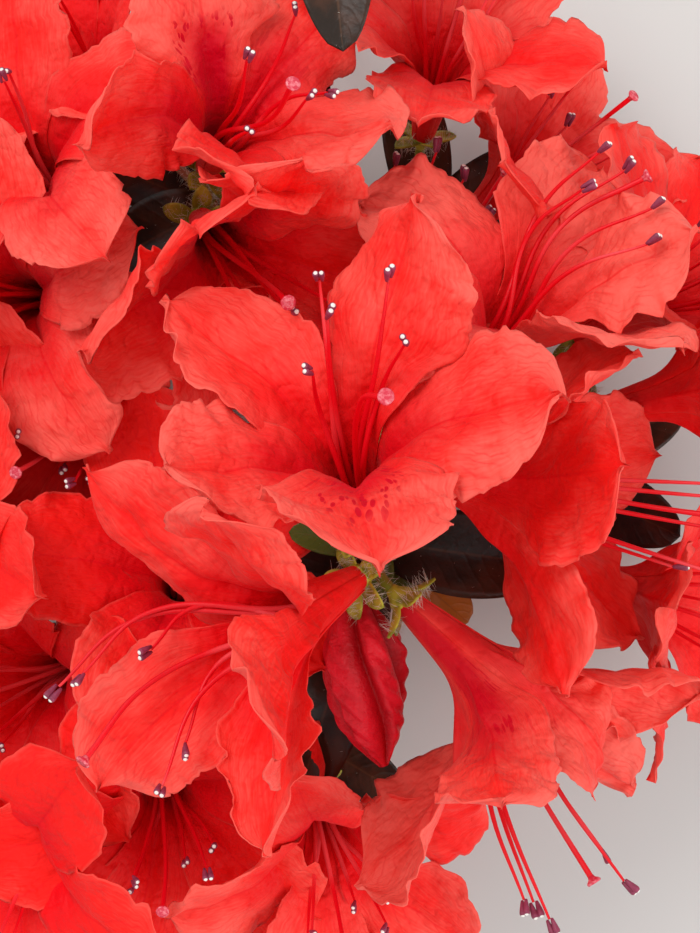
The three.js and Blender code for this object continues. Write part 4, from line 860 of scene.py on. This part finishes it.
scatter_tree, given = geometry_tree(
    "one at each tip", {"Piece": ("Object", None), "Material": ("Material", None)}
)
shape = add(scatter_tree, "GeometryNodeObjectInfo", {"Object": given["Piece"]}).outputs["Geometry"]
turned = add(scatter_tree, "GeometryNodeInputNamedAttribute", {"Name": "turn"}, data_type="QUATERNION")
sized = add(scatter_tree, "GeometryNodeInputNamedAttribute", {"Name": "size"}, data_type="FLOAT")
spread = add(
    scatter_tree,
    "GeometryNodeInstanceOnPoints",
    {
        "Points": given["Geometry"],
        "Instance": shape,
        "Rotation": turned.outputs[0],
        "Scale": sized.outputs[0],
    },
)
close_tree(scatter_tree, spread.outputs[0], given["Material"])


def on_tips(name, parts, places, material):
    """A piece with the same small form at each of the places, given as (point, turn, size)."""
    shape_mesh = mesh_piece(name + "_shape", *joined(parts), material)
    cloud = bpy.data.meshes.new(name)
    cloud.from_pydata([list(point * MM) for point, _, _ in places], [], [])
    turn = cloud.attributes.new("turn", "QUATERNION", "POINT")
    turn.data.foreach_set("value", np.array([list(q) for _, q, _ in places], np.float32).ravel())
    size = cloud.attributes.new("size", "FLOAT", "POINT")
    size.data.foreach_set("value", np.array([s for _, _, s in places], np.float32))
    source = bpy.data.objects.new(name, cloud)
    bpy.context.scene.collection.objects.link(source)
    piece = grow(name, source, scatter_tree, piece=shape_mesh, material=material)
    bpy.data.objects.remove(shape_mesh)
    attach(piece, "root")
    return piece


anther_skin = mottled("anther", 0.4, ANTHER_BROWN, ANTHER_MAUVE, 900, 3, pores=(2500, 0.08),
                      Specular_IOR_Level=0.3)
pollen_skin = mottled("pollen", 0.25, POLLEN, POLLEN_SHADE, 4000, 1)
stigma_skin = mottled("stigma", 0.2, STIGMA, STIGMA_LIT, 1800, 2, limits=(0.4, 0.7))

anther_places, stigma_places = [], []
for point, way, style, size, seed in tips:
    chance = np.random.default_rng(seed)
    turn = Vector(way).to_track_quat("Z", "X")
    turn = turn @ Matrix.Rotation(chance.uniform(0, 6.28), 3, "Z").to_quaternion()
    if style:
        stigma_places.append((point, turn, size))
        continue
    tilt = Matrix.Rotation(math.radians(chance.uniform(0, 32)), 3, "X").to_quaternion()
    anther_places.append((point, turn @ tilt, size * chance.uniform(0.9, 1.08)))
sac, sac_faces = lathe(ANTHER_SAC, 12)
sacs = [(sac + (side * SAC_APART, 0, 0), sac_faces) for side in (-1, 1)]
grains = [ball(POLLEN_BALL, (side * SAC_APART, 0, POLLEN_HIGH), 0.8) for side in (-1, 1)]
on_tips("anthers", sacs, anther_places, anther_skin)
on_tips("pollen", grains, anther_places, pollen_skin)
on_tips("stigmas", [lathe(STIGMA_DISC, 18)], stigma_places, stigma_skin)

# Calyxes and stalks. A flower stands in a small green cup with five broad spreading sepals, on a
# soft green stalk that bends down to the knob of bud scales at the end of its shoot.
CLUSTERS = {
    "front": {
        "at": (4, -12, 50), "way": (0, -0.1, 1), "blooms": ("centre", "sideways", "hanging", "outward"),
    },
    "back": {"at": (10, 11, 25), "way": (0.2, 0.1, 1), "blooms": ("behind", "beyond")},
    "top": {"at": (14, 44, 15), "way": (0.1, 0.4, 1), "blooms": ("far_right", "far_top")},
    "crown": {"at": (-24, 46, 21), "way": (-0.1, 0.2, 1), "blooms": ("crown", "crown_low", "corner")},
    "left": {"at": (-47, 30, 13), "way": (-0.3, 0.1, 1), "blooms": ("left_top", "left_mid", "left_low")},
    "low": {
        "at": (-43, -34, 12), "way": (-0.2, -0.3, 1),
        "blooms": ("left_far", "low_left", "low_mid", "low_out"),
    },
    "foot": {"at": (-15, -46, 10), "way": (0.1, -0.4, 1), "blooms": ("low_right", "foot_left")},
    "right": {"at": (32, 0, 20), "way": (0.5, 0, 1), "blooms": ("edge", "right_up", "right_low")},
    "tip": {"at": (-4, 91, 67), "way": (0, 0.2, 1), "blooms": ()},
}
CALYX = 1.6
CUP = [(0.02, -2.3), (0.95, -2.2), (1.25, -1.4), (2.1, -0.3), (2.35, 0.8), (2.15, 1.1), (0.02, 0.9)]
PEDICEL = 0.85
KNOB = 2.6  # radius of the knob of bud scales
SEPAL_LONG = 5.2
SEPAL_HALF = 1.6
SEPAL_GREEN = (0.2, 0.24, 0.01, 1)
SEPAL_LIGHT = (0.5, 0.5, 0.035, 1)
STALK_RED = (0.3, 0.05, 0.02, 1)


def blade(foot, way, side, long, half, outline, bend, gutter, rows, columns):
    """The middle layer of a leaf-like blade from its foot: it starts along way, bends down by so
    many degrees and carries a gutter along its middle."""
    way, side = np.array(Vector(way).normalized()), np.array(Vector(side).normalized())
    up = np.cross(way, side)
    t = np.linspace(0, 1, rows)
    angle = np.radians(bend) * t
    stride = way * np.cos(angle)[:, None] - up * np.sin(angle)[:, None]
    walked = np.cumsum((stride[1:] + stride[:-1]) / 2, 0) * long / (rows - 1)
    middle = foot + np.vstack([np.zeros(3), walked])
    across = np.linspace(-1, 1, columns)
    width = half * outline(t)[:, None] * across
    over = up * np.cos(angle)[:, None] + way * np.sin(angle)[:, None]
    lift = gutter * half * outline(t)[:, None] * np.abs(across) ** 1.3
    points = middle[:, None, :] + side * width[..., None] + over[:, None, :] * lift[..., None]
    return points, np.repeat(over[:, None, :], columns, 1)


def sepal_outline(t):
    return np.sin(np.pi * (0.22 + 0.78 * t) ** 1.1) ** 0.6 + 0.02


stalks, sepal_sheets, cups = [], [], []
for cluster in CLUSTERS.values():
    knob = np.array(cluster["at"]) - ORIGIN
    for name in cluster["blooms"]:
        bloom = BLOOMS[name]
        axes = facing(bloom["face"])
        start = put(bloom, np.array([0, 0, -CALYX]))
        lean = Vector(start - knob).normalized() + Vector(cluster["way"]).normalized()
        lean = np.array(lean.normalized())
        end = knob + lean * KNOB
        reach = np.linalg.norm(start - knob)
        first, second = start - axes[:, 2] * reach * 0.3, end + lean * reach * 0.3
        share = np.linspace(0, 1, 7)[:, None]
        bezier = (start * (1 - share) ** 3 + 3 * first * share * (1 - share) ** 2
                  + 3 * second * share**2 * (1 - share) + end * share**3)
        stalks.append([(*point, PEDICEL) for point in bezier])
        cup, faces = lathe(CUP, 15)
        cups.append((put(bloom, cup), faces))
        chance = np.random.default_rng(bloom["seed"] + 500)
        for i in range(PETALS):
            turn = 2 * math.pi * (i + 0.5) / PETALS + chance.uniform(-0.15, 0.15)
            out = np.array([math.cos(turn), math.sin(turn), 0])
            side = np.array([-math.sin(turn), math.cos(turn), 0])
            tilt = math.radians(chance.uniform(48, 85))
            way = out * math.sin(tilt) + np.array([0, 0, 1]) * math.cos(tilt)
            long = SEPAL_LONG * chance.uniform(0.75, 1.15)
            foot = 2.0 * out + (0, 0, 0.2)
            points, normal = blade(foot, way, side, long, SEPAL_HALF, sepal_outline,
                                   chance.uniform(-10, 40), 0.3, 11, 7)
            sepal_sheets.append((put(bloom, points.reshape(-1, 3)).reshape(points.shape), normal @ axes.T))

sepal_skin = mottled("sepal", 0.5, SEPAL_GREEN, SEPAL_LIGHT, 400, 3, limits=(0.35, 0.65),
                     pores=(2200, 0.12))
stalk_skin = mottled("stalk", 0.55, SEPAL_GREEN, STALK_RED, 90, 3, limits=(0.4, 0.6),
                     pores=(1600, 0.15))

points, faces, marks = shell(sepal_sheets)
sepals = mesh_piece("sepals", points, faces, sepal_skin, marks)
cup_piece = mesh_piece("calyx_cups", *joined(cups), sepal_skin)
stalk_piece = grow("stalks", lines("stalks", stalks), limb_tree, step=0.0009, sides=12,
                   relief=0.00012, grain=900.0, material=stalk_skin)
for piece in (sepals, cup_piece, stalk_piece):
    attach(piece, "root")

# Leaves. Each shoot carries leathery evergreen leaves, green so dark that it looks brown, glossy
# above with a sunken midrib, round a knob of overlapping bud scales. Small young ones sit between.
LEAF_DROOP = 34  # how far a leaf bends down to its tip
LEAF_GUTTER = 0.3
LEAF_GRID = (25, 13)  # rows along, columns across
YOUNG_LEAVES = 5
SCALES = 16  # round each knob
SCALE_LONG = 3.4
SCALE_HALF = 1.2
LEAVES = {
    "front": dict(
        az=(253, 352, 318, 215, 150, 60), el=(6, 2, -12, -8, 0, -6), long=(47, 30, 22, 26, 28, 24),
        half=(6.5, 7, 5, 5.5, 6, 6), below=(2, 4, 7, 6, 4, 8),
        age=(None, None, "old", None, None, None),
    ),
    "back": dict(az=(20, 150, 280), el=(12, 4, 0), long=(26, 26, 22), half=(5.5, 5.5, 5), below=(3, 3, 4)),
    "top": dict(
        az=(100, 30, 335, 180), el=(10, 6, 14, 10), long=(30, 28, 26, 26), half=(6, 6, 5.5, 6),
        below=(2, 3, 3, 2),
    ),
    "crown": dict(
        az=(215, 158, 330, 80), el=(38, 8, 18, 8), long=(30, 26, 26, 28), half=(6.5, 5.5, 6, 6),
        below=(2, 5, 4, 3),
    ),
    "left": dict(
        az=(200, 260, 130, 20), el=(16, 28, 10, 30), long=(30, 26, 28, 24), half=(6, 5.5, 6, 5.5),
        below=(2, 2, 3, 2),
    ),
    "low": dict(
        az=(180, 262, 20, 100), el=(14, 12, 40, 30), long=(28, 28, 26, 26), half=(6, 6, 5.5, 6),
        below=(2, 2, 2, 2),
    ),
    "foot": dict(az=(330, 250, 40), el=(14, 10, 34), long=(30, 28, 26), half=(6, 6, 5.5), below=(2, 2, 2)),
    "right": dict(az=(335, 20, 275), el=(10, 6, 18), long=(30, 30, 28), half=(6.5, 6, 6), below=(2, 3, 3)),
    "tip": dict(az=(276, 20, 150), el=(12, 14, 14), long=(31, 26, 26), half=(6.2, 6, 6), below=(2, 3, 4)),
}
LEAF_DARK = (0.02, 0.011, 0.006, 1)
LEAF_BROWN = (0.06, 0.022, 0.01, 1)
LEAF_GREEN = (0.09, 0.12, 0.015, 1)
LEAF_OLD = (0.5, 0.16, 0.01, 1)
AGES = {"young": 1.0, "grown": 0.5, "old": 0.0}
SCALE_BROWN = (0.16, 0.07, 0.03, 1)


def leaf_outline(t):
    return np.maximum(0.1 * (1 - t), np.sin(np.pi * t**0.95) ** 0.5)


def leaf_sheet(foot, leaf):
    plan, lift = math.radians(leaf["az"]), math.radians(leaf["el"] + 14)
    way = (math.cos(lift) * math.cos(plan), math.cos(lift) * math.sin(plan), math.sin(lift))
    side = (-math.sin(plan), math.cos(plan), 0)
    return blade(foot, way, side, leaf["long"], leaf["half"], leaf_outline,
                 LEAF_DROOP, LEAF_GUTTER, *LEAF_GRID)


twigs, leaf_sheets, leaf_ages, scale_sheets = [], [], [], []
for name, cluster in CLUSTERS.items():
    knob = np.array(cluster["at"]) - ORIGIN
    line = np.array(limb_line(BOUGHS[name]))[:, :3]
    way = (line[-1] - line[-2]) / np.linalg.norm(line[-1] - line[-2])
    start = line[-1]
    middle = start + way * np.linalg.norm(knob - start) * 0.5
    share = np.linspace(0, 1, 13)[:, None]
    curve = start * (1 - share) ** 2 + 2 * middle * share * (1 - share) + knob * share**2
    twigs.append([(*point, 1.35 - 0.15 * s) for point, s in zip(curve, share[:, 0])])
    long = np.linalg.norm(np.diff(curve, axis=0), axis=1).sum()
    chance = np.random.default_rng(len(name) * 7 + len(cluster["blooms"]))
    young = [
        dict(az=chance.uniform(0, 360), el=chance.uniform(0, 35), long=chance.uniform(9, 15),
             half=chance.uniform(2.2, 3.2), below=chance.uniform(0.5, 6), age="young")
        for _ in range(YOUNG_LEAVES)
    ]
    for leaf in each(LEAVES[name]) + young:
        at = max(0.1, 1 - (leaf["below"] + 1) / long)
        foot = np.array([np.interp(at, share[:, 0], curve[:, k]) for k in range(3)])
        leaf_sheets.append(leaf_sheet(foot, leaf))
        leaf_ages += [AGES[leaf.get("age", "grown")]] * (2 * leaf_sheets[-1][0][..., 0].size)
    for i in range(SCALES):
        turn, rise_by = 2.4 * i, i / SCALES
        out = np.array([math.cos(turn), math.sin(turn), 0])
        side = np.array([-math.sin(turn), math.cos(turn), 0])
        foot = knob + out * (1.5 - 0.9 * rise_by) + (0, 0, -2.6 + 2.6 * rise_by)
        way = out * 0.75 + (0, 0, 1)
        scale_sheets.append(blade(foot, way, side, SCALE_LONG, SCALE_HALF, sepal_outline,
                                  -35, -0.35, 7, 5))

leaf_skin, tree, shader, place = finish("leaf", 0.38, Specular_IOR_Level=0.3)
network = {"Slant": 0.16, "Count": 11.0, "Waver": 0.05, "Sharpness": 6.0}
net = add(tree, "ShaderNodeGroup", network, node_tree=veins)
colour = blend(tree, ramp(tree, speckle(tree, place, 140, 4), 0.4, 0.62), LEAF_DARK, LEAF_BROWN)
age = add(tree, "ShaderNodeAttribute", attribute_name="age").outputs["Fac"]
colour = blend(tree, ramp(tree, age, 0.6, 1.0), colour, LEAF_GREEN)
colour = blend(tree, ramp(tree, age, 0.4, 0.0), colour, LEAF_OLD)
colour = blend(tree, calc(tree, "MULTIPLY", net.outputs["Midrib"], 0.3), colour, SCALE_BROWN)
tree.links.new(colour, shader.inputs["Base Color"])
height = calc(tree, "MULTIPLY_ADD", net.outputs["Veins"], -0.25, speckle(tree, place, 600, 3))
relief(tree, shader, height, 0.14)
scale_skin = mottled("bud scale", 0.6, SCALE_BROWN, SEPAL_GREEN, 500, 3, pores=(1800, 0.2))

points, faces, marks = shell(leaf_sheets)
leaves = mesh_piece("leaf_blades", points, faces, leaf_skin, marks, age=leaf_ages)
points, faces, marks = shell(scale_sheets)
scales = mesh_piece("bud_scales", points, faces, scale_skin, marks)
twig_piece = grow("twigs", lines("twigs", twigs), limb_tree, step=0.001, sides=14,
                  relief=0.0003, grain=700.0, material=stalk_skin)
for piece in (leaves, scales, twig_piece):
    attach(piece, "root")
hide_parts(*("leaves_" + name for name in CLUSTERS))

# The bud. One flower of the front shoot is still closed: a crimson spindle of five rolled petals.
# Each lies over the next with a puckered edge, and all wind a little round the bud's axis.
BUD_FOOT = [(3.6, -14.8, 52), (1.8, -18.5, 59), (1.6, -28, 60)]
BUD_LINE = [*BUD_FOOT, (3.4, -38, 58.5), (5.3, -47, 56)]
BUD_WIDE = 7
BUD_RED = (0.86, 0.012, 0.03, 1)
# A dark red, painted into the bud's furrows as shade and into random mottles.
BUD_DARK_AND_SHADE = (0.42, 0.0, 0.004, 1)

bud_skin, tree, shader, place = finish("bud", 0.45, Specular_IOR_Level=0.3)
fold = add(tree, "ShaderNodeAttribute", attribute_name="fold").outputs["Fac"]
mottle = ramp(tree, speckle(tree, place, 300, 4), 0.1, 0.6)
# Painted shade: dark red down in the furrows between the rolled petals, bright crimson on their ridges,
# broken by random mottles.
colour = blend(tree, calc(tree, "MULTIPLY", mottle, fold), BUD_DARK_AND_SHADE, BUD_RED)
tree.links.new(colour, shader.inputs["Base Color"])
relief(tree, shader, speckle(tree, place, 1500, 3), 0.25)

bud_path = np.array(BUD_LINE) - ORIGIN
bud_rows, bud_sides = 130, 150
knots = np.concatenate([[0], np.cumsum(np.linalg.norm(np.diff(bud_path, axis=0), axis=1))])
distance = np.linspace(0, knots[-1], bud_rows)
fit = [np.polynomial.Polynomial.fit(knots, bud_path[:, k], 3) for k in range(3)]
middle = np.stack([f(distance) for f in fit], -1)
tangent = np.gradient(middle, axis=0)
tangent /= np.linalg.norm(tangent, axis=1)[:, None]
first = np.cross(tangent, (0, 0, 1))
first /= np.linalg.norm(first, axis=1)[:, None]
second = np.cross(tangent, first)
share = np.clip((distance - 9.5) / (knots[-1] - 8.5), 0, 1)
swell = BUD_WIDE * np.sin(np.pi * share**0.8)
turn = np.linspace(0, 2 * np.pi, bud_sides, endpoint=False)
winding = PETALS * (turn[None, :] + 1.1 * share[:, None]) / (2 * np.pi)
winding = winding + 0.06 * np.sin(9 * share[:, None] + 2 * turn[None, :])
across = winding % 1
ridge = rise(across / 0.55) ** 0.8 * (1 - rise((across - 0.84) / 0.16))
pucker = np.sin(31 * share[:, None] + 5 * across) * np.sin(17 * share[:, None] + 9 * across + 1)
ridge = ridge * (0.9 + 0.2 * pucker * rise((across - 0.2) / 0.4))
radius = np.maximum(PEDICEL, swell[:, None] * (0.6 + 0.4 * ridge))
radius[-1] = 0.05
points = middle[:, None, :] + radius[..., None] * (
    first[:, None, :] * np.cos(turn)[None, :, None] + second[:, None, :] * np.sin(turn)[None, :, None]
)
index = np.arange(bud_rows * bud_sides).reshape(bud_rows, bud_sides)
index = np.concatenate([index, index[:, :1]], 1)
fold = (ridge * np.ones_like(radius)).ravel()
bud = mesh_piece("bud", points.reshape(-1, 3), quads(index), bud_skin, fold=fold)
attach(bud, "root")
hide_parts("bud")

# Hairs. Young stalks, sepals and leaves carry scattered stiff pale hairs, thinner than a thread.
HAIR_THICK = 0.045
HAIR_PALE = (0.9, 0.88, 0.8, 1)
HAIR_BROWN = (0.5, 0.42, 0.3, 1)

hair_tree, given = geometry_tree(
    "scattered hairs",
    {
        "Density": ("Float", 100000.0),
        "Length": ("Float", 0.0015),
        "Thickness": ("Float", 0.00003),
        "Seed": ("Int", 1),
        "Material": ("Material", None),
    },
)
scattered = add(
    hair_tree,
    "GeometryNodeDistributePointsOnFaces",
    {"Mesh": given["Geometry"], "Density": given["Density"], "Seed": given["Seed"]},
)
strand = add(
    hair_tree,
    "GeometryNodeMeshCone",
    {"Vertices": 3, "Radius Top": 0.00001, "Radius Bottom": given["Thickness"], "Depth": given["Length"]},
    fill_type="NONE",
)
lean = add(
    hair_tree,
    "FunctionNodeRandomValue",
    {0: (-0.6, -0.6, -3.1), 1: (0.6, 0.6, 3.1)},
    data_type="FLOAT_VECTOR",
)
leaning = add(
    hair_tree,
    "FunctionNodeRotateRotation",
    {0: scattered.outputs["Rotation"], 1: lean.outputs[0]},
    rotation_space="LOCAL",
)
stature = add(hair_tree, "FunctionNodeRandomValue", {2: 0.45, 3: 1.1}, data_type="FLOAT")
planted = add(
    hair_tree,
    "GeometryNodeInstanceOnPoints",
    {
        "Points": scattered.outputs["Points"],
        "Instance": strand.outputs[0],
        "Rotation": leaning.outputs[0],
        "Scale": stature.outputs[1],
    },
)
close_tree(hair_tree, planted.outputs[0], given["Material"])

hair_skin = mottled("hair", 0.4, HAIR_PALE, HAIR_BROWN, 300, 1)
for name, bearer, density, long in (
    ("sepal_hairs", sepals, 2400000.0, 2.6),
    ("stalk_hairs", stalk_piece, 1600000.0, 1.7),
    ("twig_hairs", twig_piece, 1100000.0, 1.4),
    ("leaf_hairs", leaves, 60000.0, 1.0),
):
    source = bpy.data.objects.new(name, bearer.data)
    bpy.context.scene.collection.objects.link(source)
    hairs = grow(name, source, hair_tree, density=density, length=long * MM,
                 thickness=HAIR_THICK * MM, seed=3, material=hair_skin)
    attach(hairs, "root")
